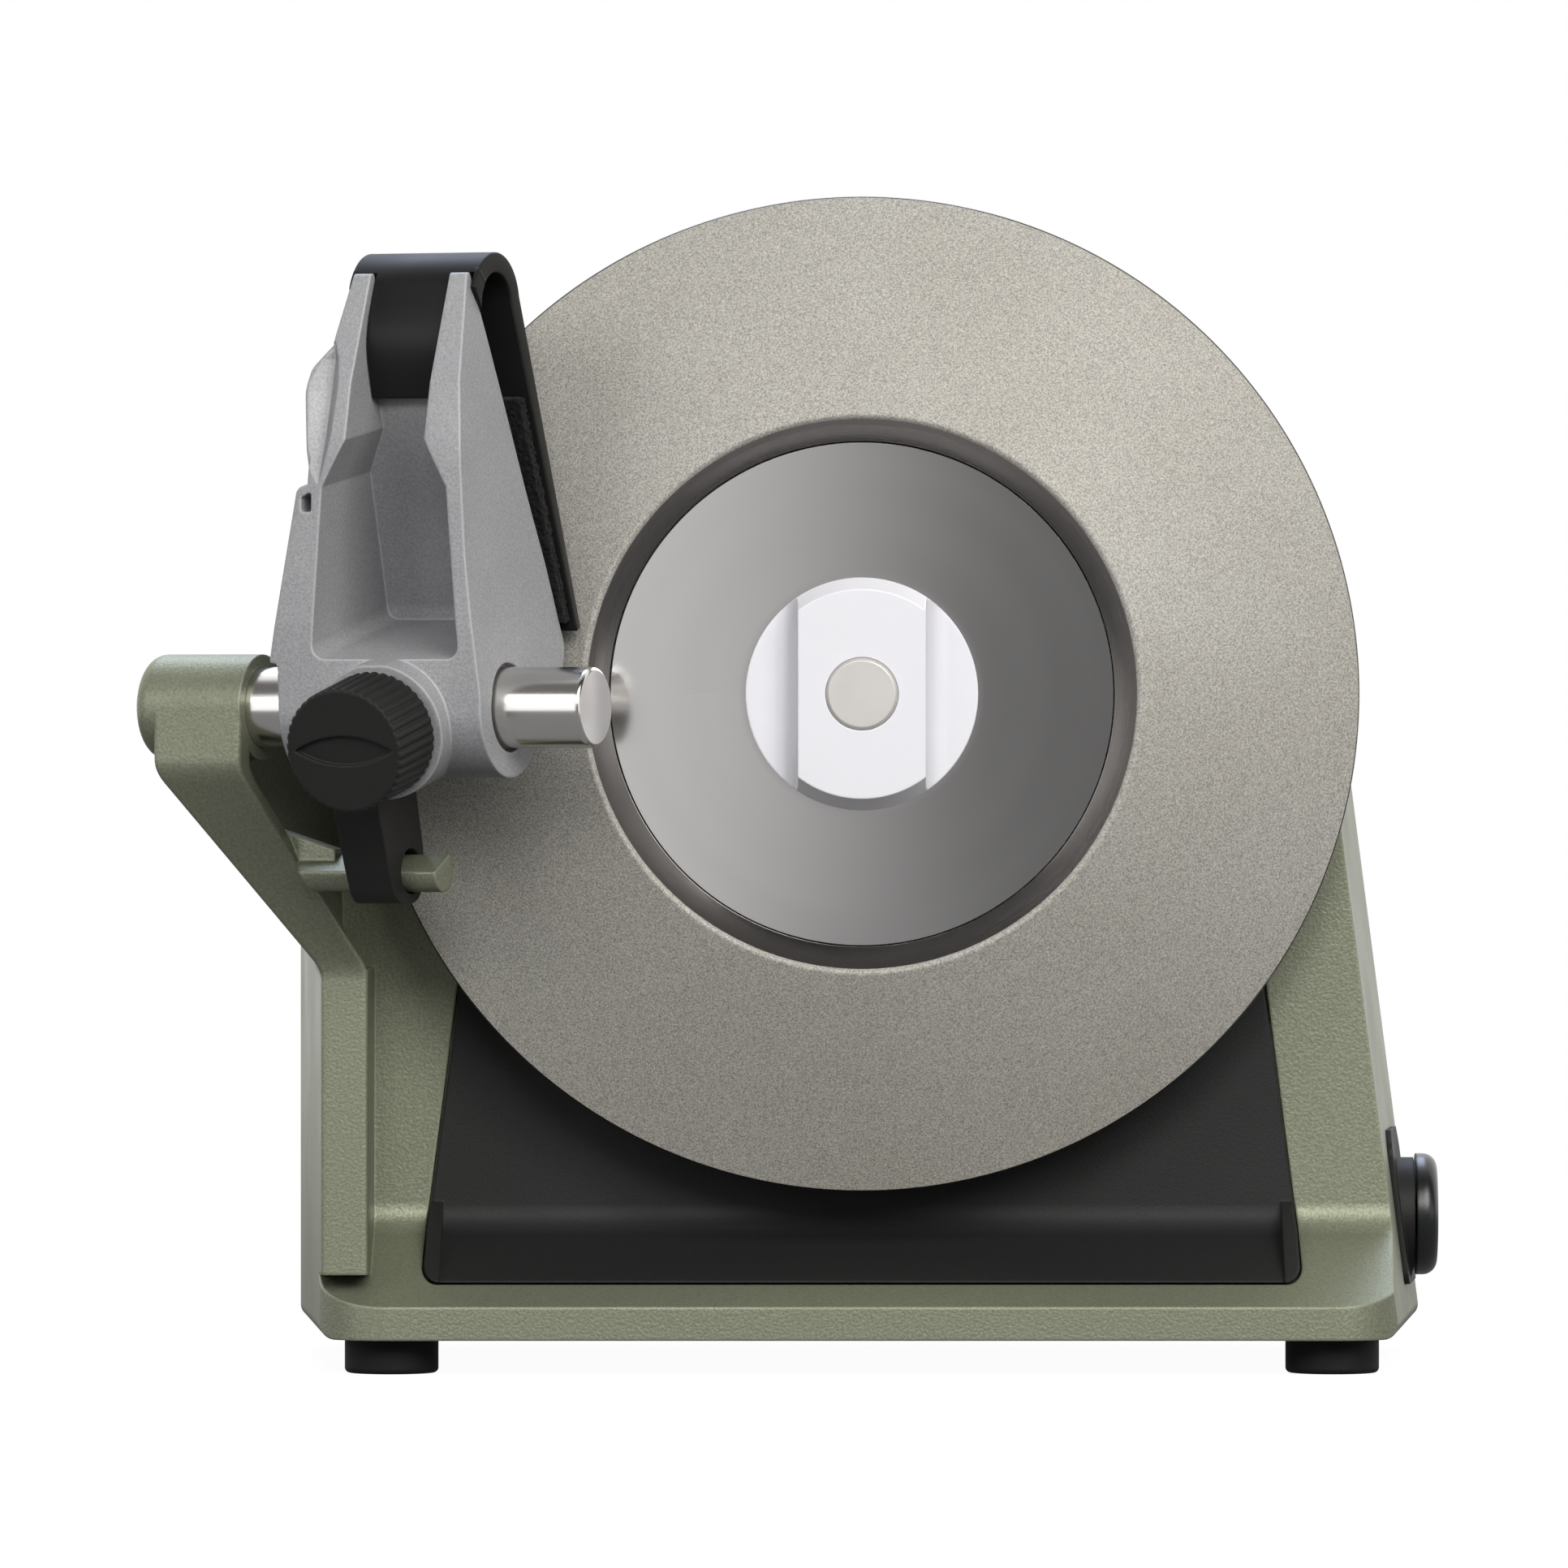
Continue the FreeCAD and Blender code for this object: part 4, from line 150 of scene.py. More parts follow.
@dataclass(frozen=True)
class Finish:
    """A real material and the way its surface was made.

    The surface relief is a noise with cells as wide as grain_mm, and patches as wide as patch_mm shift
    the colour towards a second one and the roughness up and down. Rounded edges get a painted highlight:
    their colour moves towards a lighter edge colour.
    """

    name: str
    colour: str
    second: str
    roughness: float
    grain_mm: float
    relief_mm: float
    patch_mm: float
    edge_mm: float
    metallic: float = 0.0
    patch_share: float = 0.5
    roughness_spread: float = 0.05
    edge_highlight_colour: str = ""
    edge_highlight_share: float = 0.0
    speckle: float = 0.0
    specular: float = 0.5
    anisotropy: float = 0.0
    coat: float = 0.0
    sheen: float = 0.0
    lay: Lay = Lay.GRAIN

    def coordinates(self, tree: Tree) -> Socket:
        """Gives the place that the pattern reads, in metres.

        For a turned surface the place is (distance from the shaft, a little of the angle, depth), so
        the lines run round the shaft as a lathe tool leaves them.

        Args:
            tree: the material's node tree.

        Returns:
            The socket with the place.
        """
        if self.lay is not Lay.TURNED:
            return add_node(tree, "ShaderNodeTexCoord").outputs["Object"]
        parts = add_node(tree, "ShaderNodeSeparateXYZ", {0: self.from_shaft(tree)})
        flat = add_node(tree, "ShaderNodeCombineXYZ", {"X": parts.outputs["X"], "Y": parts.outputs["Z"]})
        radius = add_node(tree, "ShaderNodeVectorMath", {0: flat.outputs[0]}, operation="LENGTH")
        angle = add_node(tree, "ShaderNodeMath", {0: parts.outputs["Z"], 1: parts.outputs["X"]},
                         operation="ARCTAN2")
        short = add_node(tree, "ShaderNodeMath", {0: angle.outputs[0], 1: LINE_DRIFT}, operation="MULTIPLY")
        return add_node(tree, "ShaderNodeCombineXYZ", {
            "X": radius.outputs["Value"], "Y": short.outputs[0], "Z": parts.outputs["Y"]}).outputs[0]

    def from_shaft(self, tree: Tree) -> Socket:
        """Gives the place in metres from the rim plane's middle, on the shaft's axis.

        Args:
            tree: the material's node tree.

        Returns:
            The socket with the place.
        """
        place = add_node(tree, "ShaderNodeTexCoord").outputs["Object"]
        centre = tuple(-c * MM for c in MACHINE_ORIGIN)
        return add_node(tree, "ShaderNodeVectorMath", {0: place, 1: centre}, operation="ADD").outputs[0]

    def relief(self, tree: Tree, place: Socket) -> Socket:
        """Gives the height of the fine relief, from 0 to 1, as a noise as fine as one grain.

        Args:
            tree: the material's node tree.
            place: the socket with the place in metres.

        Returns:
            The socket with the height.
        """
        detail = 3.0 if self.lay is Lay.FIBRE else 1.5
        return add_node(tree, "ShaderNodeTexNoise", {
            "Vector": place, "Scale": 1 / (self.grain_mm * MM), "Detail": detail, "Roughness": 0.55,
        }).outputs["Fac"]

    def tint(self, tree: Tree, patches: Socket, height: Socket) -> Socket:
        """Gives the colour: two tones mixed by the patches, then lighter and darker with the grain.

        Args:
            tree: the material's node tree.
            patches: the noise of the wide patches.
            height: the height of the fine relief.

        Returns:
            The socket with the colour.
        """
        share = add_node(tree, "ShaderNodeMapRange", {
            "Value": patches, "From Min": PATCH_SPAN[0], "From Max": PATCH_SPAN[1], "To Min": 0.0,
            "To Max": self.patch_share})
        colour = add_node(tree, "ShaderNodeMix", {
            "Factor": share.outputs[0], "A": srgb_to_linear(self.colour),
            "B": srgb_to_linear(self.second)}, data_type="RGBA").outputs["Result"]
        if not self.speckle:
            return colour
        spots = add_node(tree, "ShaderNodeMapRange", {
            "Value": height, "From Min": NOISE_SPAN[0], "From Max": NOISE_SPAN[1],
            "To Min": 1 - self.speckle, "To Max": 1 + self.speckle})
        return add_node(tree, "ShaderNodeVectorMath", {0: colour, "Scale": spots.outputs[0]},
                        operation="SCALE").outputs[0]

    def paint_edge_highlight(self, tree: Tree, colour: Socket, rounded: Socket) -> Socket:
        """Paints a highlight on rounded edges: mixes in the lighter edge colour, more as the rounded normal
        leans further from the flat one.

        Args:
            tree: the material's node tree.
            colour: the colour of the open surface.
            rounded: the normal of the rounded edges.

        Returns:
            The socket with the colour.
        """
        flat_side = add_node(tree, "ShaderNodeNewGeometry").outputs["Normal"]
        facing = add_node(tree, "ShaderNodeVectorMath", {0: rounded, 1: flat_side},
                          operation="DOT_PRODUCT")
        highlit = add_node(tree, "ShaderNodeMapRange", {
            "Value": facing.outputs["Value"], "From Min": EDGE_HIGHLIGHT_SPAN[0], "From Max": EDGE_HIGHLIGHT_SPAN[1],
            "To Min": 0.0, "To Max": self.edge_highlight_share})
        return add_node(tree, "ShaderNodeMix", {
            "Factor": highlit.outputs[0], "A": colour, "B": srgb_to_linear(self.edge_highlight_colour)},
            data_type="RGBA").outputs["Result"]

    @lru_cache(maxsize=None)
    def make(self) -> Material:
        """Makes the material's nodes, once for each finish: patches, grain, painted edge highlights and the
        shader.

        Returns:
            The material.
        """
        material = bpy.data.materials.new(self.name)
        material.use_nodes = True
        tree = material.node_tree
        tree.nodes.clear()
        place = self.coordinates(tree)
        patches = add_node(tree, "ShaderNodeTexNoise", {
            "Vector": place, "Scale": 1 / (self.patch_mm * MM), "Detail": 2.0,
            "Roughness": 0.5}).outputs["Fac"]
        height = self.relief(tree, place)
        colour = self.tint(tree, patches, height)
        rounded = add_node(tree, "ShaderNodeBevel", {"Radius": self.edge_mm * MM},
                           samples=BEVEL_SAMPLES).outputs[0]
        # Rounded edges get a painted highlight: their colour moves towards a lighter one.
        if self.edge_highlight_share:
            colour = self.paint_edge_highlight(tree, colour, rounded)
        bump = add_node(tree, "ShaderNodeBump", {
            "Height": height, "Distance": self.relief_mm * MM, "Strength": 1.0, "Normal": rounded})
        rough = add_node(tree, "ShaderNodeMapRange", {
            "Value": patches, "From Min": NOISE_SPAN[0], "From Max": NOISE_SPAN[1],
            "To Min": max(SMOOTHEST, self.roughness - self.roughness_spread),
            "To Max": min(1.0, self.roughness + self.roughness_spread)})
        shader = add_node(tree, "ShaderNodeBsdfPrincipled", {
            "Base Color": colour, "Roughness": rough.outputs[0], "Normal": bump.outputs[0],
            "Metallic": self.metallic, "Specular IOR Level": self.specular, "Anisotropic": self.anisotropy,
            "Coat Weight": self.coat, "Coat Roughness": COAT_ROUGHNESS, "Sheen Weight": self.sheen})
        if self.anisotropy:
            around = add_node(tree, "ShaderNodeVectorMath", {0: self.from_shaft(tree), 1: (0.0, 1.0, 0.0)},
                              operation="CROSS_PRODUCT")
            tree.links.new(around.outputs[0], shader.inputs["Tangent"])
        add_node(tree, "ShaderNodeOutputMaterial", {"Surface": shader.outputs[0]})
        return material


# Powder coat with fine metal flakes on die-cast zinc, oven cured: its tone follows what it faces, and a
# # soft orange-peel grain catches the light. Its rounded edges get a painted highlight.
POWDER_COAT = Finish(
    "powder_coat_olive", "#8A8D79", "#81846F", metallic=0.50, roughness=0.44, grain_mm=0.44,
    relief_mm=0.060, patch_mm=30.0, edge_mm=0.6, edge_highlight_colour="#AEB29B", edge_highlight_share=0.55, speckle=0.14,
    specular=0.4)
# Diamond grit set in nickel by electroplating: a matt warm grey full of tiny lit and dark grains. Real
# grains are about 0.1 mm wide, and these are coarser so that they show.
GRIT_COAT = Finish(
    "plated_diamond_grit", "#ADAAA3", "#A6A299", metallic=0.28, roughness=0.60, grain_mm=0.26,
    relief_mm=0.045, patch_mm=30.0, roughness_spread=0.03, edge_mm=0.3, speckle=0.38)
# Turned steel of the wheel's body: lines round the shaft, a fine feed apart, that streak the highlights.
TURNED_STEEL = Finish(
    "turned_steel", "#878481", "#706D6B", metallic=1.0, roughness=0.25, grain_mm=0.10, relief_mm=0.006,
    patch_mm=3.0, edge_mm=0.25, anisotropy=0.7, lay=Lay.TURNED)
# Polished rim of the wheel's steel body: a darker steel that mirrors the room softly.
RIM_STEEL = Finish(
    "polished_rim_steel", "#6E6A66", "#635F5B", metallic=1.0, roughness=0.24, grain_mm=0.20,
    relief_mm=0.003, patch_mm=10.0, patch_share=0.4, roughness_spread=0.04, edge_mm=0.2)
# Lapped stainless steel: faint lines round the shaft soften what it mirrors.
LAPPED_STEEL = Finish(
    "lapped_stainless_steel", "#D6D4D3", "#D1CFCE", metallic=1.0, roughness=0.11, grain_mm=0.12,
    relief_mm=0.0003, patch_mm=8.0, patch_share=0.3, roughness_spread=0.01, edge_mm=0.05, lay=Lay.TURNED)
# Satin anodised aluminium: almost white, with a fine silky grain and a painted white highlight on its
# edges.
SATIN_ALUMINIUM = Finish(
    "satin_anodised_aluminium", "#EFEEF3", "#E9E8EE", metallic=0.12, roughness=0.40, grain_mm=0.18,
    relief_mm=0.008, patch_mm=12.0, patch_share=0.4, roughness_spread=0.04, edge_mm=0.35,
    edge_highlight_colour="#FFFFFF", edge_highlight_share=0.3)
# Faced and deburred steel of the shaft: a plain satin grey with hardly any mirror in it.
FACED_STEEL = Finish(
    "faced_steel", "#D6D3CF", "#CECBC7", metallic=0.45, roughness=0.36, grain_mm=0.15, relief_mm=0.006,
    patch_mm=6.0, patch_share=0.4, edge_mm=0.3)
# Hard chrome plate on a ground steel rod: bright and faintly warm, with soft-edged reflections.
CHROME_PLATE = Finish(
    "chrome_plated_steel", "#DEDBD7", "#D7D4D0", metallic=1.0, roughness=0.19, grain_mm=0.20,
    relief_mm=0.0006, patch_mm=15.0, patch_share=0.3, roughness_spread=0.02, edge_mm=0.05)
# Zinc-plated steel of the screws, plates and motor, also for the bearings: a cool grey with cloudy spots.
ZINC_PLATE = Finish(
    "zinc_plated_steel", "#B9BBBD", "#A5A8AB", metallic=1.0, roughness=0.34, grain_mm=0.25,
    relief_mm=0.006, patch_mm=4.0, patch_share=0.6, roughness_spread=0.10, edge_mm=0.25)
# Bead-blasted die-cast aluminium: light grey, with a soft sparkle and rounded edges with a painted
# highlight.
# The blasted dimples are about 0.1 mm wide, and these are coarser so that they show.
CAST_ALUMINIUM = Finish(
    "bead_blasted_aluminium", "#A6A6A8", "#9D9DA0", metallic=0.15, roughness=0.55, grain_mm=0.38,
    relief_mm=0.055, patch_mm=14.0, patch_share=0.45, roughness_spread=0.06, edge_mm=0.6,
    edge_highlight_colour="#CBCBCE", edge_highlight_share=0.7, speckle=0.15)
# Glass-filled nylon, moulded in a spark-eroded mould: black with a faint brown cast, a matt grain and a
# # painted highlight on its edges.
MOULDED_NYLON = Finish(
    "moulded_nylon", "#201F1E", "#1B1B1A", roughness=0.56, grain_mm=0.35, relief_mm=0.020, patch_mm=18.0,
    roughness_spread=0.07, edge_mm=0.5, edge_highlight_colour="#3A3938", edge_highlight_share=0.4, specular=0.28)
# Black oxide on the spring steel of the leaf, under a matt lacquer, with a painted highlight on its edges.
BLACKED_STEEL = Finish(
    "blacked_spring_steel", "#101010", "#0E0E0E", roughness=0.50, grain_mm=0.30, relief_mm=0.010,
    patch_mm=18.0, roughness_spread=0.06, edge_mm=0.25, edge_highlight_colour="#363637", edge_highlight_share=0.25,
    specular=0.26)
# Textured ABS of the insert and the rear cover: a dull black a shade lighter than the nylon, with a
# # painted highlight on its edges.
TEXTURED_ABS = Finish(
    "textured_abs", "#232323", "#1E1E1E", roughness=0.55, grain_mm=0.40, relief_mm=0.030, patch_mm=25.0,
    roughness_spread=0.06, edge_mm=0.6, edge_highlight_colour="#333333", edge_highlight_share=0.20, speckle=0.10,
    specular=0.30)
# Smooth ABS, moulded in a polished mould: black with a low gloss.
GLOSS_ABS = Finish(
    "glossy_abs", "#131416", "#101113", roughness=0.30, grain_mm=0.6, relief_mm=0.004, patch_mm=20.0,
    patch_share=0.4, edge_mm=0.6, coat=0.2)
# Pressed natural rubber of the feet and the cord gland: dull black with no clear highlight.
PRESSED_RUBBER = Finish(
    "pressed_rubber", "#161616", "#1C1C1C", roughness=0.70, grain_mm=0.5, relief_mm=0.020, patch_mm=8.0,
    patch_share=0.6, roughness_spread=0.08, edge_mm=0.5, specular=0.25)
# Wool felt: short matted fibres that scatter light from every side. A fibre is about 0.03 mm thick, and
# the grain is as wide as a tuft of them, so that it shows.
WOOL_FELT = Finish(
    "wool_felt", "#151414", "#211F1F", roughness=0.95, grain_mm=0.28, relief_mm=0.22, patch_mm=1.2,
    patch_share=0.9, roughness_spread=0.03, edge_mm=0.2, speckle=0.5, specular=0.2, sheen=0.08,
    lay=Lay.FIBRE)
# Honing composite with worked-in compound: a dull brown with wide dark patches.
HONING_COMPOSITE = Finish(
    "honing_composite", "#5A4A38", "#463A2D", roughness=0.75, grain_mm=0.5, relief_mm=0.06, patch_mm=6.0,
    patch_share=0.8, roughness_spread=0.1, edge_mm=0.5, speckle=0.2, lay=Lay.FIBRE)
# Unfilled moulded nylon: an ivory white with a slight gloss.
IVORY_NYLON = Finish(
    "ivory_nylon", "#E4DFCF", "#D8D2C0", roughness=0.42, grain_mm=0.5, relief_mm=0.008, patch_mm=10.0,
    patch_share=0.4, roughness_spread=0.06, edge_mm=0.3)
# Solder-masked glass-fibre board: green under a clear, fairly glossy layer.
SOLDER_MASK = Finish(
    "solder_masked_board", "#2E5B37", "#274E2F", roughness=0.35, grain_mm=0.6, relief_mm=0.006,
    patch_mm=5.0, edge_mm=0.15, coat=0.2)


def round_corners(corners: Sequence[Tuple[float, float, float]], steps: int = 8) -> np.ndarray:
    """Rounds the inner corners of an open line with arcs.

    Each corner gives way to an arc that touches both of its runs: its centre lies on the corner's
    middle line, and its ends lie radius / tan(half the corner's angle) along the runs.

    Args:
        corners: points of the line as (first, second, radius).
        steps: points on each arc.

    Returns:
        The rounded line as an array of two columns.
    """
    line: List[np.ndarray] = []
    points = np.array([c[:2] for c in corners], float)
    for k, (_, _, radius) in enumerate(corners):
        here = points[k]
        if radius <= 0 or k in (0, len(corners) - 1):
            line.append(here[None])
            continue
        back = (points[k - 1] - here) / np.linalg.norm(points[k - 1] - here)
        onward = (points[k + 1] - here) / np.linalg.norm(points[k + 1] - here)
        half = math.acos(float(np.clip(back @ onward, -1, 1))) / 2
        middle = (back + onward) / np.linalg.norm(back + onward)
        centre = here + middle * radius / math.sin(half)
        start = here + back * radius / math.tan(half) - centre
        end = here + onward * radius / math.tan(half) - centre
        turn = np.linspace(0, 1, steps)[:, None]
        swing = math.pi - 2 * half
        arc = np.sin((1 - turn) * swing) * start + np.sin(turn * swing) * end
        line.append(centre + arc / math.sin(swing))
    return np.vstack(line)


@dataclass(frozen=True)
class Space:
    """A frame to place points from: an origin and three unit directions, in machine millimetres."""

    origin: np.ndarray
    axes: np.ndarray

    def to_metres(self, points: np.ndarray) -> np.ndarray:
        """Turns points of this frame, the last axis holding three lengths, to metres of the part."""
        return (points @ self.axes + self.origin + MACHINE_ORIGIN) * MM

    def turned_x(self, degrees: float, origin: Sequence[float]) -> "Space":
        """Gives a frame at a point of this one, turned about its first direction.

        Args:
            degrees: the turn.
            origin: the point.

        Returns:
            The new frame.
        """
        c, s = math.cos(math.radians(degrees)), math.sin(math.radians(degrees))
        turn = np.array([[1, 0, 0], [0, c, s], [0, -s, c]])
        return Space(np.array(origin, float) @ self.axes + self.origin, turn @ self.axes)


MACHINE = Space(np.zeros(3), np.eye(3))


def make_mesh(name: str, points: np.ndarray, faces: np.ndarray) -> Piece:
    """Puts vertices and equal-sided, smooth-shaded faces into a new object.

    Args:
        name: the piece's name.
        points: vertices in metres, one row each.
        faces: vertex numbers, one row for each face.

    Returns:
        The new object, at the origin.
    """
    mesh = bpy.data.meshes.new(name)
    sides = faces.shape[1]
    mesh.vertices.add(len(points))
    mesh.vertices.foreach_set("co", points.astype(np.float32).ravel())
    mesh.loops.add(faces.size)
    mesh.loops.foreach_set("vertex_index", faces.astype(np.int32).ravel())
    mesh.polygons.add(len(faces))
    mesh.polygons.foreach_set("loop_start", np.arange(0, faces.size, sides, dtype=np.int32))
    mesh.polygons.foreach_set("use_smooth", np.full(len(faces), True))
    mesh.update(calc_edges=True)
    mesh.validate()
    piece = bpy.data.objects.new(name, mesh)
    bpy.context.scene.collection.objects.link(piece)
    return piece


def grid_faces(rows: int, columns: int, wrap_rows: bool = False) -> np.ndarray:
    """Numbers the four corners of each cell of a grid of points, whose last column joins its first.

    Args:
        rows: points along the first direction.
        columns: points along the second.
        wrap_rows: whether the last row joins the first too.

    Returns:
        One row of four vertex numbers for each cell.
    """
    row = np.arange(rows if wrap_rows else rows - 1)[:, None]
    column = np.arange(columns)[None]
    below, right = (row + 1) % rows, (column + 1) % columns
    cells = [row * columns + column, row * columns + right,
             below * columns + right, below * columns + column]
    return np.stack([np.broadcast_to(c, (row.size, column.size)) for c in cells], -1).reshape(-1, 4)


def turned_piece(name: str, profile: np.ndarray, space: Space) -> Piece:
    """Carries a profile round the second direction of a frame.

    The point at profile k and angle a is (radius_k cos a, depth_k, radius_k sin a). Both ends of the
    profile that lie on the axis close to a point, and otherwise the last point joins the first, so the
    surface is closed.

    Args:
        name: the piece's name.
        profile: radius and depth of each point.
        space: the frame.

    Returns:
        The new object.
    """
    angle = np.linspace(0, 2 * math.pi, TURNS, endpoint=False)
    radius = np.broadcast_to(profile[:, :1], (len(profile), TURNS))
    depth = np.broadcast_to(profile[:, 1:], (len(profile), TURNS))
    points = np.stack([radius * np.cos(angle), depth, radius * np.sin(angle)], -1)
    closed_ring = profile[0, 0] > ON_AXIS or profile[-1, 0] > ON_AXIS
    faces = grid_faces(len(profile), TURNS, closed_ring)
    piece = make_mesh(name, space.to_metres(points.reshape(-1, 3)), faces)
    tidy_mesh(piece)
    return piece


def strip_grid(line: np.ndarray, thickness: float, edge: float, across: int = 0,
               deep: int = 0) -> np.ndarray:
    """Carries a flat bar's rounded section along a line, and rounds its two ends as well.

    A corner of the section turns about the point that lies edge inside both sides. Near an end, at
    edge (1 - cos t) from it, the section shrinks by edge (1 - sin t). The outer side lies on the right
    of the line, and the bar may be narrower there.

    Args:
        line: the second and third place of the middle line, half the width and how much narrower the
            outer side is on each side, one row for each section.
        thickness: thickness of the bar.
        edge: radius of its edges.
        across: points added on each wide side of the section.
        deep: points added on each thin side.

    Returns:
        Points as sections, points round a section, and three lengths.
    """
    steps = np.linalg.norm(np.diff(line[:, :2], axis=0), axis=1)
    length = np.concatenate([[0.0], np.cumsum(steps)])
    turn = np.linspace(0, math.pi / 2, CORNER_STEPS)
    near, shrink = edge * (1 - np.cos(turn)), edge * (1 - np.sin(turn))
    past_end = 1.01 * edge
    inside = length[(length > past_end) & (length < length[-1] - past_end)]
    place = np.concatenate([near, inside, length[-1] - near[::-1]])
    inset = np.concatenate([shrink, 0 * inside, shrink[::-1]])[:, None]
    second, third, half, narrower = (np.interp(place, length, column)[:, None] for column in line.T)
    along = np.stack([np.gradient(second[:, 0], place), np.gradient(third[:, 0], place)], -1)
    along = along / np.linalg.norm(along, axis=1)[:, None]
    runs = []
    for corner, (wide, out) in enumerate(((1, -1), (1, 1), (-1, 1), (-1, -1))):
        angle = turn + (corner - 1) * math.pi / 2
        runs.append(np.stack([wide * (half - edge) + (edge - inset) * np.cos(angle),
                              out * (thickness / 2 - edge) + (edge - inset) * np.sin(angle)], -1))
    sides = []
    for corner, run in enumerate(runs):
        count = across if corner % 2 else deep
        share = (np.arange(count) + 1)[None, :, None] / (count + 1)
        sides.append(run)
        sides.append(run[:, -1:] + (runs[(corner + 1) % 4][:, :1] - run[:, -1:]) * share)
    section = np.concatenate(sides, 1)
    wide, out = section[..., 0], section[..., 1]
    wide = wide - np.sign(wide) * narrower * (out / thickness + 0.5)
    grid = np.stack([wide, second + out * along[:, 1:], third - out * along[:, :1]], -1)
    ends = [np.broadcast_to(row.mean(0), row.shape)[None] for row in (grid[0], grid[-1])]
    return np.concatenate([ends[0], grid, ends[1]])


def with_width(line: np.ndarray, half: float) -> np.ndarray:
    """Adds an even half width and no narrower side to a line's points, as strip_grid reads them."""
    return np.hstack([line, np.full((len(line), 1), half), np.zeros((len(line), 1))])


def grids_to_piece(name: str, grids: Sequence[np.ndarray], space: Space) -> Piece:
    """Makes one object of closed grids, each with its last column next to its first.

    Args:
        name: the piece's name.
        grids: each grid as rows, columns and three lengths.
        space: the frame that they are in.

    Returns:
        The new object.
    """
    points, faces, count = [], [], 0
    for grid in grids:
        points.append(space.to_metres(grid.reshape(-1, 3)))
        faces.append(grid_faces(grid.shape[0], grid.shape[1]) + count)
        count += grid.shape[0] * grid.shape[1]
    piece = make_mesh(name, np.vstack(points), np.vstack(faces))
    tidy_mesh(piece)
    return piece


def tidy_mesh(piece: Piece) -> None:
    """Merges doubled vertices, drops faces with no area and turns all faces outwards.

    Args:
        piece: the object.
    """
    surface = bmesh.new()
    surface.from_mesh(piece.data)
    bmesh.ops.remove_doubles(surface, verts=surface.verts, dist=SAME_PLACE)
    bmesh.ops.dissolve_degenerate(surface, edges=surface.edges, dist=NO_EDGE)
    bmesh.ops.recalc_face_normals(surface, faces=surface.faces)
    surface.to_mesh(piece.data)
    surface.free()


def sharpen(piece: Piece, degrees: float) -> None:
    """Keeps edges that bend by more than an angle crisp in the smooth shading."""
    piece.data.set_sharp_from_angle(angle=math.radians(degrees))


class Assembly:
    """What every sub-assembly shares: it dresses its pieces and reports them."""

    def dress_node(self, finish: Finish, *nodes: str) -> None:
        """Gives CAD nodes a finish in place of their packed one.

        Args:
            finish: the finish.
            *nodes: names of the nodes.
        """
        for name in nodes:
            for slot in frame["nodes"][name].material_slots:
                slot.material = finish.make()
            LOG.info("node %s gets %s", name, finish.name)

    def dress_piece(self, piece: Piece, body: str, slot: str, finishes: Sequence[Finish],
                    replaced: Sequence[str]) -> None:
        """Dresses a new piece, puts it on its body and hides the nodes that it stands for.

        Args:
            piece: the new object.
            body: the CAD body that it moves with.
            slot: the record's material slot; not used.
            finishes: one finish for each of the mesh's material numbers.
            replaced: the CAD nodes that it replaces.
        """
        for finish in finishes:
            piece.data.materials.append(finish.make())
        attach(piece, body)
        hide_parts(*replaced)
        LOG.info("piece %s rides on %s with %d faces", piece.name, body, len(piece.data.polygons))


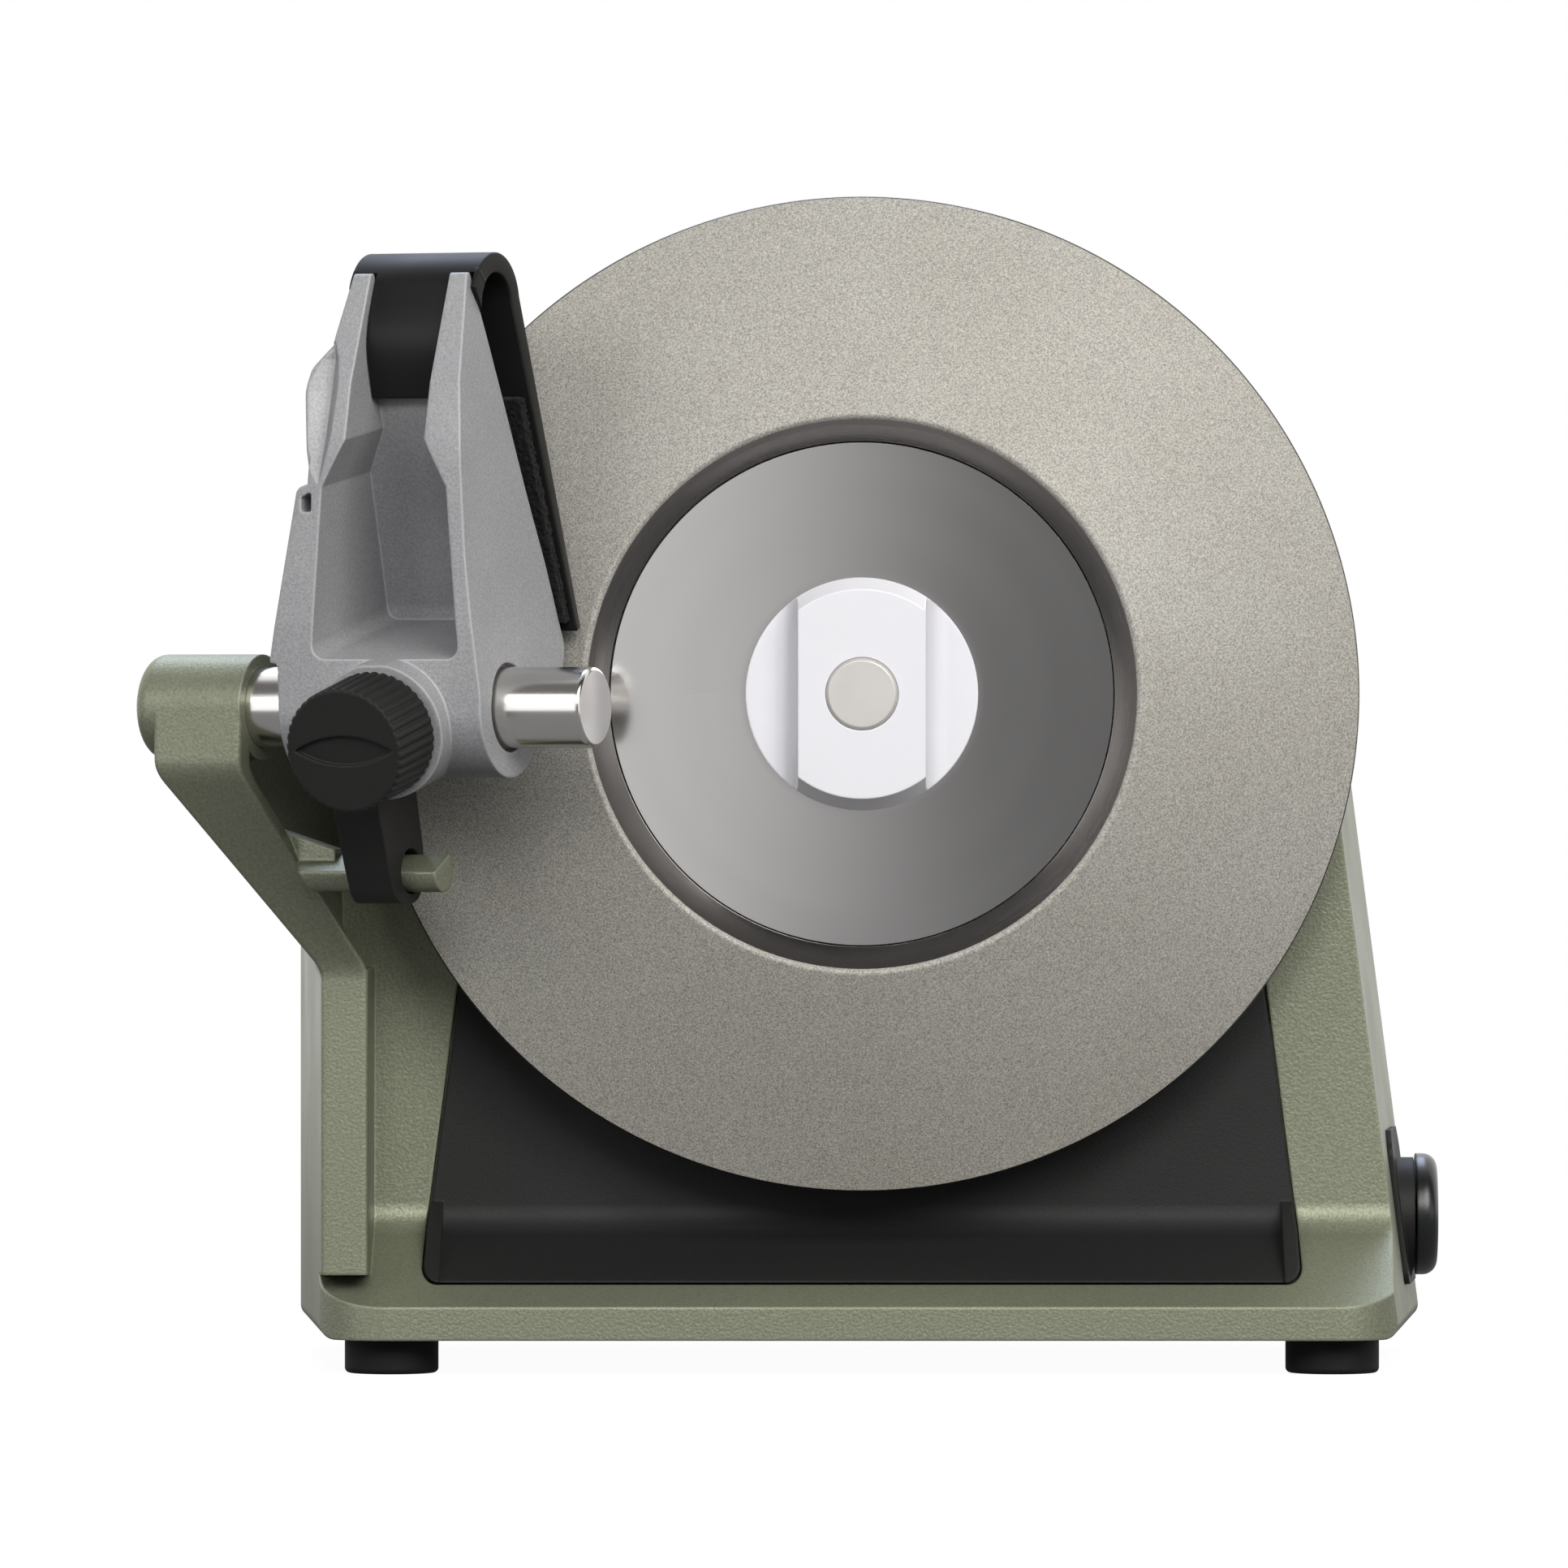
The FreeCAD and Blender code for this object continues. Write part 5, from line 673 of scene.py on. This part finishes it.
@dataclass
class ConicalWheel(Assembly):
    """The coated ring with its polished rim and turned recess, and the lapped disc in it.

    The disc falls back towards its edge by disc_fall, with the square of the distance from the shaft,
    so it mirrors one side of the room brighter than the other.
    """

    radius: float = 75.0
    cone_degrees: float = 24.0
    coat_inner: float = 41.5
    lip_round: float = 0.85
    rim_round: float = 0.45
    disc_radius: float = 37.7
    disc_gap: float = 0.2
    recess: float = 6.0
    disc_thickness: float = 4.0
    disc_bore: float = 7.05
    disc_fall: float = 0.5
    nut_radius: float = 17.6
    seat_radius: float = 33.5
    seat_thickness: float = 3.0
    ring_wall: float = 5.0
    disc_round: float = 0.06
    disc_steps: int = 24
    lip_drop: float = 0.3
    rim_land: float = 0.1
    back_round: float = 0.5
    seat_round: float = 0.3
    coat_facing: float = 0.60
    rim_facing: float = 0.86
    crisp_degrees: float = 25.0

    def cone_depth(self, radius: float) -> float:
        """Depth of the coated cone at a radius: it falls back evenly to the rim."""
        return -(self.radius - radius) * math.tan(math.radians(self.cone_degrees))

    def surface_numbers(self, ring: Piece) -> np.ndarray:
        """Gives each face of the ring a finish: 0 for the coat, 1 for turned steel and 2 for the rim.

        A face is coated where its normal points forward by more than coat_facing, and past the rim's
        rounding it is rim steel where that share is under rim_facing.

        Args:
            ring: the ring's object.

        Returns:
            One number for each face.
        """
        count = len(ring.data.polygons)
        centres, normals = np.zeros(count * 3), np.zeros(count * 3)
        ring.data.polygons.foreach_get("center", centres)
        ring.data.polygons.foreach_get("normal", normals)
        place = centres.reshape(-1, 3) / MM - MACHINE_ORIGIN
        distance = np.hypot(place[:, 0], place[:, 2])
        forward = -normals.reshape(-1, 3)[:, 1]
        rim = (distance > self.radius - self.rim_round) & (forward < self.rim_facing)
        return np.where(rim, 2, np.where(forward < self.coat_facing, 1, 0)).astype(np.int32)

    def build(self) -> None:
        """Makes the ring and the disc, and dresses the shaft that shows in the nut."""
        face = self.cone_depth(self.coat_inner)
        floor = self.disc_radius + self.disc_gap
        back = face + self.recess + self.disc_thickness
        land = self.radius - self.rim_land
        profile = round_corners([
            (floor, face + self.recess, 0), (self.coat_inner, face + self.lip_drop, self.lip_round),
            (land, self.cone_depth(land), self.rim_round),
            (self.radius, self.ring_wall, self.back_round),
            (self.radius - self.ring_wall / 2, self.ring_wall, self.back_round),
            (self.disc_radius + self.ring_wall, back + self.seat_thickness, self.back_round),
            (self.seat_radius, back + self.seat_thickness, self.seat_round),
            (self.seat_radius, back, 0), (floor, back, 0),
        ])
        ring = turned_piece("wheel_ring", profile, MACHINE)
        ring.data.polygons.foreach_set("material_index", self.surface_numbers(ring))
        sharpen(ring, self.crisp_degrees)
        self.dress_piece(ring, "spindle", "abrasive", [GRIT_COAT, TURNED_STEEL, RIM_STEEL],
                         ["diamond_wheel"])

        radii = np.linspace(self.nut_radius, self.disc_radius - self.disc_round, self.disc_steps)
        shares = (radii ** 2 - self.nut_radius ** 2) / (self.disc_radius ** 2 - self.nut_radius ** 2)
        front = np.stack([radii, face + self.recess + self.disc_fall * shares], -1)
        edge = np.array([
            (self.disc_radius, front[-1, 1] + self.disc_round), (self.disc_radius, back),
            (self.disc_bore, back), (self.disc_bore, face + self.recess)])
        disc = turned_piece("lapped_disc", np.vstack([front, edge]), MACHINE)
        sharpen(disc, self.crisp_degrees)
        self.dress_piece(disc, "spindle", "mirror_steel", [LAPPED_STEEL], ["hub_disc"])
        self.dress_node(FACED_STEEL, "main_shaft")
        self.dress_node(SATIN_ALUMINIUM, "front_lock_nut", "rear_lock_nut")


@dataclass
class HoningWheel(Assembly):
    """The composite wheel on its hub behind the housing."""

    def build(self) -> None:
        """Dresses the wheel and its hub."""
        self.dress_node(HONING_COMPOSITE, "honing_wheel")
        self.dress_node(MOULDED_NYLON, "honing_hub")


@dataclass
class Machine(Assembly):
    """The housing with its cover, insert and feet."""

    def build(self) -> None:
        """Dresses the fixed outer pieces."""
        self.dress_node(POWDER_COAT, "housing")
        self.dress_node(TEXTURED_ABS, "front_insert", "rear_cover")
        self.dress_node(PRESSED_RUBBER, "rubber_feet", "cord_gland")
        self.dress_node(ZINC_PLATE, "cover_screws", "foot_screws", "insert_magnets")


@dataclass
class Drive(Assembly):
    """Bearings, gears, motor and board inside the housing."""

    def build(self) -> None:
        """Dresses the inner pieces."""
        self.dress_node(ZINC_PLATE, "front_bearing", "rear_bearing", "idler_axle", "motor_plate",
                        "plate_screws", "motor_can", "motor_rotor")
        self.dress_node(IVORY_NYLON, "drive_gear", "idler_gear", "motor_pinion")
        self.dress_node(SOLDER_MASK, "control_board")
        self.dress_node(GLOSS_ABS, "capacitor")


@dataclass
class Switch(Assembly):
    """The rotary switch on the right wall."""

    def build(self) -> None:
        """Dresses the plate, knob and body."""
        self.dress_node(GLOSS_ABS, "switch_knob")
        self.dress_node(MOULDED_NYLON, "switch_plate", "switch_body")


@dataclass
class SpringLeaf(Assembly):
    """The bent leaf that presses the blade, and the felt on its rear leg.

    The leaf runs from the foot of its rear leg up, over the loop and down its bowed front leg. The loop
    is open where the guide's two fins pass, and only a thin cheek goes round outside each fin.
    """

    centre: Tuple[float, float] = (5.7, 59.5)
    tilt: float = 12.0
    middle_radius: float = 6.5
    thickness: float = 3.0
    edge: float = 0.3
    foot_drop: float = 50.3
    foot_half: float = 16.4
    bevel: float = 0.9
    loop_half: float = 10.4
    slot_angle: float = 142.0
    leg_half: float = 6.35
    leg_foot: float = 46.1
    leave_angle: float = 158.0
    foot_lean: float = 17.5
    bow_handle: float = 8.3
    steps: int = 60
    slot_gap: float = 0.2
    arc_steps: int = 12
    cheek_inner: float = 9.7
    cheek_overlap: float = 6.0
    cheek_end: float = 188.0
    cheek_steps: int = 24
    cheek_slimmer: float = 0.06
    cheek_edge: float = 0.6
    cheek_inset: float = 0.02
    fin_back: Tuple[Tuple[float, float], Tuple[float, float]] = ((-3.4, 64.1), (0.2, 59.7))
    felt_low: float = -48.7
    felt_high: float = -14.7
    felt_half_low: float = 15.3
    felt_half_high: float = 11.1
    felt_middle: float = 4.0
    felt_thickness: float = 1.9
    felt_edge: float = 0.25
    felt_rows: int = 220
    felt_across: int = 170
    felt_deep: int = 11
    felt_seed: int = 7
    fuzz: float = 0.11
    crisp_degrees: float = 40.0

    def ring(self, start: float, end: float, count: int) -> np.ndarray:
        """Gives points of the loop's middle line from one angle to another, in degrees."""
        angle = np.radians(np.linspace(start, end, count))[:, None]
        return np.array(self.centre) + self.middle_radius * np.hstack([np.cos(angle), np.sin(angle)])

    def leaf_line(self) -> np.ndarray:
        """Gives the leaf's middle line with half its width and the bevel of its rear leg.

        The front leg is a cubic Bezier curve that leaves the loop in its own direction.

        Returns:
            The line as strip_grid reads it.
        """
        share = np.linspace(1, 0, self.steps)[:, None]
        down = np.array([math.sin(math.radians(self.tilt)), -math.cos(math.radians(self.tilt))])
        rear = self.ring(self.tilt, self.tilt, 1) + share * self.foot_drop * down
        half = self.loop_half + share * (self.foot_half - self.loop_half)
        rear = np.hstack([rear, half, share * self.bevel])
        loop = with_width(self.ring(self.tilt, self.slot_angle, self.steps)[1:], self.loop_half)
        arc = self.ring(self.slot_angle + self.slot_gap, self.leave_angle, self.arc_steps)
        leave, lean = math.radians(self.leave_angle), math.radians(self.foot_lean)
        foot = np.array([self.centre[0] - self.middle_radius, self.leg_foot])
        first = arc[-1] + self.bow_handle * np.array([-math.sin(leave), math.cos(leave)])
        second = foot + self.bow_handle * np.array([-math.sin(lean), math.cos(lean)])
        t = np.linspace(0, 1, self.steps)[1:, None]
        bow = ((1 - t) ** 3 * arc[-1] + 3 * (1 - t) ** 2 * t * first + 3 * (1 - t) * t ** 2 * second
               + t ** 3 * foot)
        return np.vstack([rear, loop, with_width(np.vstack([arc, bow]), self.leg_half)])

    def cheeks(self) -> List[np.ndarray]:
        """Makes the two thin ends of the loop outside the fins.

        Each is an arc of the loop, and what would pass the line of the fins' back edges is moved back
        onto it.

        Returns:
            One grid for each end.
        """
        half = (self.loop_half - self.cheek_inner) / 2
        arc = self.ring(self.slot_angle - self.cheek_overlap, self.cheek_end, self.cheek_steps)
        bar = strip_grid(with_width(arc, half), self.thickness - self.cheek_slimmer,
                         self.edge * self.cheek_edge)
        top, low = self.fin_back
        slant = top[0] + (top[1] - bar[..., 2]) * (low[0] - top[0]) / (top[1] - low[1])
        bar[..., 1] = np.maximum(bar[..., 1], slant)
        shift = np.array([self.loop_half - self.cheek_inset - half, 0, 0])
        return [bar + shift, bar - shift]

    def felt_grid(self) -> np.ndarray:
        """Makes the felt's surface: a flat bar pushed in and out along its own normals.

        The push is random, averaged over each point and its eight neighbours and cut off at twice its
        spread.

        Returns:
            Points as rows, points round the pad, and three lengths.
        """
        height = np.linspace(self.felt_low, self.felt_high, self.felt_rows)[:, None]
        share = (height - self.felt_low) / (self.felt_high - self.felt_low)
        half = self.felt_half_low + share * (self.felt_half_high - self.felt_half_low)
        line = np.hstack([0 * height + self.felt_middle, height, half, 0 * height])
        grid = strip_grid(line, self.felt_thickness, self.felt_edge, self.felt_across, self.felt_deep)
        noise = np.random.default_rng(self.felt_seed).normal(size=grid.shape[:2])
        noise = sum(np.roll(noise, (i, j), (0, 1)) for i in (-1, 0, 1) for j in (-1, 0, 1)) / 9
        down, round_it = np.gradient(grid, axis=0), np.roll(grid, -1, 1) - np.roll(grid, 1, 1)
        normal = np.cross(down, round_it)
        normal = normal / np.maximum(np.linalg.norm(normal, axis=-1, keepdims=True), 1e-9)
        push = np.clip(noise / noise.std(), -2, 2)[..., None] * self.fuzz
        push[[0, -1]] = 0
        return grid + normal * push

    def dress(self, here: Space) -> None:
        """Makes both pieces in the guide's frame.

        Args:
            here: the guide's frame.
        """
        leaf = strip_grid(self.leaf_line(), self.thickness, self.edge)
        piece = grids_to_piece("spring_leaf", [leaf] + self.cheeks(), here)
        sharpen(piece, self.crisp_degrees)
        self.dress_piece(piece, "guide", "black_plastic", [BLACKED_STEEL], ["guide_leaf"])
        along_leg = here.turned_x(self.tilt, (0, *self.centre))
        pad = grids_to_piece("wool_felt_pad", [self.felt_grid()], along_leg)
        self.dress_piece(pad, "guide", "felt", [WOOL_FELT], ["felt_pad"])


@dataclass
class KnifeGuide(Assembly):
    """The bar and everything that slides on it."""

    cone_degrees: float = ConicalWheel.cone_degrees
    rim_radius: float = ConicalWheel.radius
    station: float = 20.9
    standoff: float = 24.6
    bar_drop: float = 2.0
    bar_radius: float = 6.0
    bar_start: float = -40.5
    bar_end: float = 29.3
    bar_round: float = 0.75
    hidden_round: float = 0.3
    round_steps: int = 16
    crisp_degrees: float = 50.0

    def space(self) -> Space:
        """Works out the guide's frame, turned to the cone's side and set back from the rim.

        Returns:
            The frame: along the bar, back towards the wheel and up.
        """
        angle = math.radians(self.cone_degrees)
        along = np.array([math.cos(angle), -math.sin(angle), 0.0])
        behind = np.array([math.sin(angle), math.cos(angle), 0.0])
        centre = np.array([-self.rim_radius, 0.0, -self.bar_drop])
        centre = centre + along * self.station - behind * self.standoff
        return Space(centre, np.array([along, behind, [0.0, 0.0, 1.0]]))

    def build(self) -> None:
        """Makes the bar and dresses the casting, leaf, felt, lever and knob."""
        here = self.space()
        along_bar = Space(here.origin, here.axes[[1, 0, 2]])
        profile = round_corners([
            (0, self.bar_start, 0), (self.bar_radius, self.bar_start, self.hidden_round),
            (self.bar_radius, self.bar_end, self.bar_round), (0, self.bar_end, 0)], self.round_steps)
        bar = turned_piece("chromed_bar", profile, along_bar)
        sharpen(bar, self.crisp_degrees)
        self.dress_piece(bar, "frame", "chrome", [CHROME_PLATE], ["support_bar"])
        SpringLeaf().dress(here)
        self.dress_node(CAST_ALUMINIUM, "guide_casting")
        self.dress_node(MOULDED_NYLON, "anti_turn_lever", "angle_knob")
        self.dress_node(ZINC_PLATE, "knob_spindle")


@dataclass(frozen=True)
class Softbox:
    """A round glow that only mirrors see: where it stands, how wide it is in degrees and how bright."""

    direction: Tuple[float, float, float]
    inner: float
    outer: float
    strength: float


@dataclass(frozen=True)
class Ramp:
    """A smooth step of brightness from low to high along one axis of the direction looked in."""

    axis: str
    start: float
    end: float
    low: float
    high: float


@dataclass(frozen=True)
class Panel:
    """A square soft lamp: its place in metres of the part, its side in metres, watts and sRGB colour."""

    name: str
    place: Tuple[float, float, float]
    side: float
    power: float
    colour: str


@dataclass
class Studio:
    """White ground, soft lamps and the camera of the photograph.

    The ambient ramp lights surfaces, and the other ramps and the softboxes are what mirrors see.
    """

    lens_px: float = 16374.0
    stand_off: float = 2000.0
    axis_px: Tuple[float, float] = (1062.0, 855.0)
    sensor: float = 36.0
    clip: Tuple[float, float] = (0.1, 50.0)
    side: Ramp = Ramp("X", -0.081, 0.059, 0.74, 0.16)
    height: Ramp = Ramp("Z", 0.10, 0.55, 1.0, 0.22)
    overhead: Ramp = Ramp("Z", 0.84, 0.94, 0.0, 0.55)
    back_half: Ramp = Ramp("Y", -0.30, -0.05, 0.0, 1.0)
    behind: Ramp = Ramp("Y", -0.05, 0.25, 0.0, 1.2)
    ambient: Ramp = Ramp("Z", -0.4, 0.9, 0.07, 0.46)
    softboxes: Tuple[Softbox, ...] = (
        Softbox((-0.74, -0.66, 0.13), 15.0, 21.0, 1.45), Softbox((0.63, -0.66, 0.40), 12.0, 24.0, 0.95),
        Softbox((0.90, -0.43, 0.0), 8.0, 24.0, 1.4), Softbox((-0.90, -0.43, -0.05), 5.0, 18.0, 1.0))
    panels: Tuple[Panel, ...] = (
        Panel("key_panel", (0.76, -1.56, 1.00), 1.1, 25.0, "#FFFEFB"),
        Panel("front_panel", (-0.10, -1.90, 0.90), 0.5, 8.0, "#FFFFFF"),
        Panel("left_panel", (-1.25, -1.40, 0.85), 0.7, 5.5, "#FFFFFF"),
        Panel("top_panel", (-0.10, 0.85, 1.45), 0.9, 14.0, "#CFDEFF"))
    panel_target: Tuple[float, float, float] = (0.01, -0.03, 0.09)
    floor_radius: float = 0.75
    floor_rings: Tuple[float, ...] = (0.001, 0.5, 1.0)
    floor_steps: int = 96
    floor_colour: str = "#505050"
    floor_glow: float = 0.96
    floor_in_mirrors: float = 0.18

    def build(self) -> None:
        """Makes the floor, the world, the lamps and the camera."""
        self.make_floor()
        self.make_world()
        for panel in self.panels:
            self.hang(panel)
        self.make_camera()

    def make_floor(self) -> None:
        """Makes a round plain floor that stays white to the camera and in reflections."""
        angle = np.linspace(0, 2 * math.pi, self.floor_steps, endpoint=False)
        rings = np.array(self.floor_rings)[:, None] * self.floor_radius
        points = np.stack([rings * np.cos(angle), rings * np.sin(angle), 0 * rings * angle], -1)
        faces = grid_faces(len(rings), self.floor_steps)[:, ::-1]
        floor = make_mesh("floor", points.reshape(-1, 3), faces)
        material = bpy.data.materials.new("floor_white")
        material.use_nodes = True
        tree = material.node_tree
        tree.nodes.clear()
        light = add_node(tree, "ShaderNodeLightPath").outputs
        seen = add_node(tree, "ShaderNodeMath", {
            0: light["Is Camera Ray"], 1: light["Is Transmission Ray"]}, operation="MAXIMUM")
        glint = add_node(tree, "ShaderNodeMath", {
            0: light["Is Glossy Ray"], 1: self.floor_in_mirrors}, operation="MULTIPLY")
        seen = add_node(tree, "ShaderNodeMath", {0: seen.outputs[0], 1: glint.outputs[0]},
                        operation="MAXIMUM")
        glow = add_node(tree, "ShaderNodeMath", {0: seen.outputs[0], 1: self.floor_glow},
                        operation="MULTIPLY")
        paper = add_node(tree, "ShaderNodeBsdfDiffuse", {"Color": srgb_to_linear(self.floor_colour)})
        lit = add_node(tree, "ShaderNodeEmission", {"Color": (1, 1, 1, 1), "Strength": glow.outputs[0]})
        both = add_node(tree, "ShaderNodeAddShader", {0: paper.outputs[0], 1: lit.outputs[0]})
        add_node(tree, "ShaderNodeOutputMaterial", {"Surface": both.outputs[0]})
        floor.data.materials.append(material)

    def mirrored_room(self, tree: Tree, way: Socket, levels: Sequence[Socket]) -> Socket:
        """Gives the brightness of the room that mirrors see.

        It is side times height, plus overhead times back half, or what lies behind or the brightest
        softbox where these are brighter. A softbox fades between its two angles from its middle.

        Args:
            tree: the world's node tree.
            way: the direction looked in.
            levels: the ramps side, height, overhead, back half and behind.

        Returns:
            The socket with the brightness.
        """
        side, height, overhead, back_half, behind = levels
        wall = add_node(tree, "ShaderNodeMath", {0: side, 1: height}, operation="MULTIPLY")
        ceiling = add_node(tree, "ShaderNodeMath", {0: overhead, 1: back_half}, operation="MULTIPLY")
        room = add_node(tree, "ShaderNodeMath", {0: wall.outputs[0], 1: ceiling.outputs[0]},
                        operation="ADD").outputs[0]
        glows = [behind]
        for box in self.softboxes:
            facing = add_node(tree, "ShaderNodeVectorMath", {0: way, 1: box.direction},
                              operation="DOT_PRODUCT")
            glows.append(add_node(tree, "ShaderNodeMapRange", {
                "Value": facing.outputs["Value"], "From Min": math.cos(math.radians(box.outer)),
                "From Max": math.cos(math.radians(box.inner)), "To Min": 0.0, "To Max": box.strength},
                interpolation_type="SMOOTHSTEP").outputs[0])
        for glow in glows:
            room = add_node(tree, "ShaderNodeMath", {0: room, 1: glow}, operation="MAXIMUM").outputs[0]
        return room

    def make_world(self) -> None:
        """Makes the room: white to the camera, and lighter from above to surfaces.

        Mirrors see a grey room that is brighter on its left than on its right near the horizon, dim
        above it, lit overhead behind the machine's front, with softboxes round it and white at its back.
        """
        world = bpy.data.worlds.new("studio_room")
        bpy.context.scene.world = world
        world.use_nodes = True
        tree = world.node_tree
        tree.nodes.clear()
        way = add_node(tree, "ShaderNodeTexCoord").outputs["Generated"]
        parts = add_node(tree, "ShaderNodeSeparateXYZ", {0: way})
        *levels, ambient = [add_node(tree, "ShaderNodeMapRange", {
            "Value": parts.outputs[ramp.axis], "From Min": ramp.start, "From Max": ramp.end,
            "To Min": ramp.low, "To Max": ramp.high}, interpolation_type="SMOOTHSTEP").outputs[0]
            for ramp in (self.side, self.height, self.overhead, self.back_half, self.behind, self.ambient)]
        room = self.mirrored_room(tree, way, levels)
        light = add_node(tree, "ShaderNodeLightPath")
        level = add_node(tree, "ShaderNodeMix", {
            "Factor": light.outputs["Is Glossy Ray"], 2: ambient, 3: room}, data_type="FLOAT")
        level = add_node(tree, "ShaderNodeMix", {
            "Factor": light.outputs["Is Camera Ray"], 2: level.outputs[0], 3: 1.0}, data_type="FLOAT")
        air = add_node(tree, "ShaderNodeBackground", {"Color": (1, 1, 1, 1), "Strength": level.outputs[0]})
        add_node(tree, "ShaderNodeOutputWorld", {"Surface": air.outputs[0]})

    def hang(self, panel: Panel) -> None:
        """Hangs a soft panel that faces the machine.

        Args:
            panel: the panel.
        """
        light = bpy.data.lights.new(panel.name, "AREA")
        light.energy = panel.power
        light.size = panel.side
        light.color = srgb_to_linear(panel.colour)[:3]
        lamp = bpy.data.objects.new(panel.name, light)
        bpy.context.scene.collection.objects.link(lamp)
        facing = np.array(self.panel_target) - np.array(panel.place)
        lamp.location = panel.place
        lamp.rotation_mode = "QUATERNION"
        lamp.rotation_quaternion = Vector(facing).to_track_quat("-Z", "Y")

    def make_camera(self) -> None:
        """Sets the camera on the shaft's axis, which its shift puts where the photograph has it."""
        lens = bpy.data.cameras.new("photo_camera")
        lens.sensor_fit = "HORIZONTAL"
        lens.sensor_width = self.sensor
        lens.lens = self.sensor * self.lens_px / PHOTO_SIDE
        lens.shift_x = (PHOTO_SIDE / 2 - self.axis_px[0]) / PHOTO_SIDE
        lens.shift_y = (self.axis_px[1] - PHOTO_SIDE / 2) / PHOTO_SIDE
        lens.clip_start, lens.clip_end = self.clip
        camera = bpy.data.objects.new("photo_camera", lens)
        bpy.context.scene.collection.objects.link(camera)
        camera.location = MACHINE.to_metres(np.array([0.0, -self.stand_off, 0.0]))
        camera.rotation_euler = (math.radians(90), 0, 0)
        bpy.context.scene.camera = camera


def clear_startup_objects() -> None:
    """Removes the cube, lamp and camera that Blender may start with."""
    kept = set(frame["nodes"].values()) | set(frame["bodies"].values())
    for thing in [o for o in bpy.data.objects if o not in kept]:
        bpy.data.objects.remove(thing)


def main() -> None:
    """Builds every sub-assembly and the studio."""
    logging.basicConfig(level=logging.INFO, format="%(message)s")
    clear_startup_objects()
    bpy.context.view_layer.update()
    bpy.context.scene.view_settings.view_transform = "Standard"
    for assembly in (ConicalWheel(), HoningWheel(), Machine(), Drive(), Switch(), KnifeGuide(), Studio()):
        assembly.build()


if __name__ == "__main__":
    main()
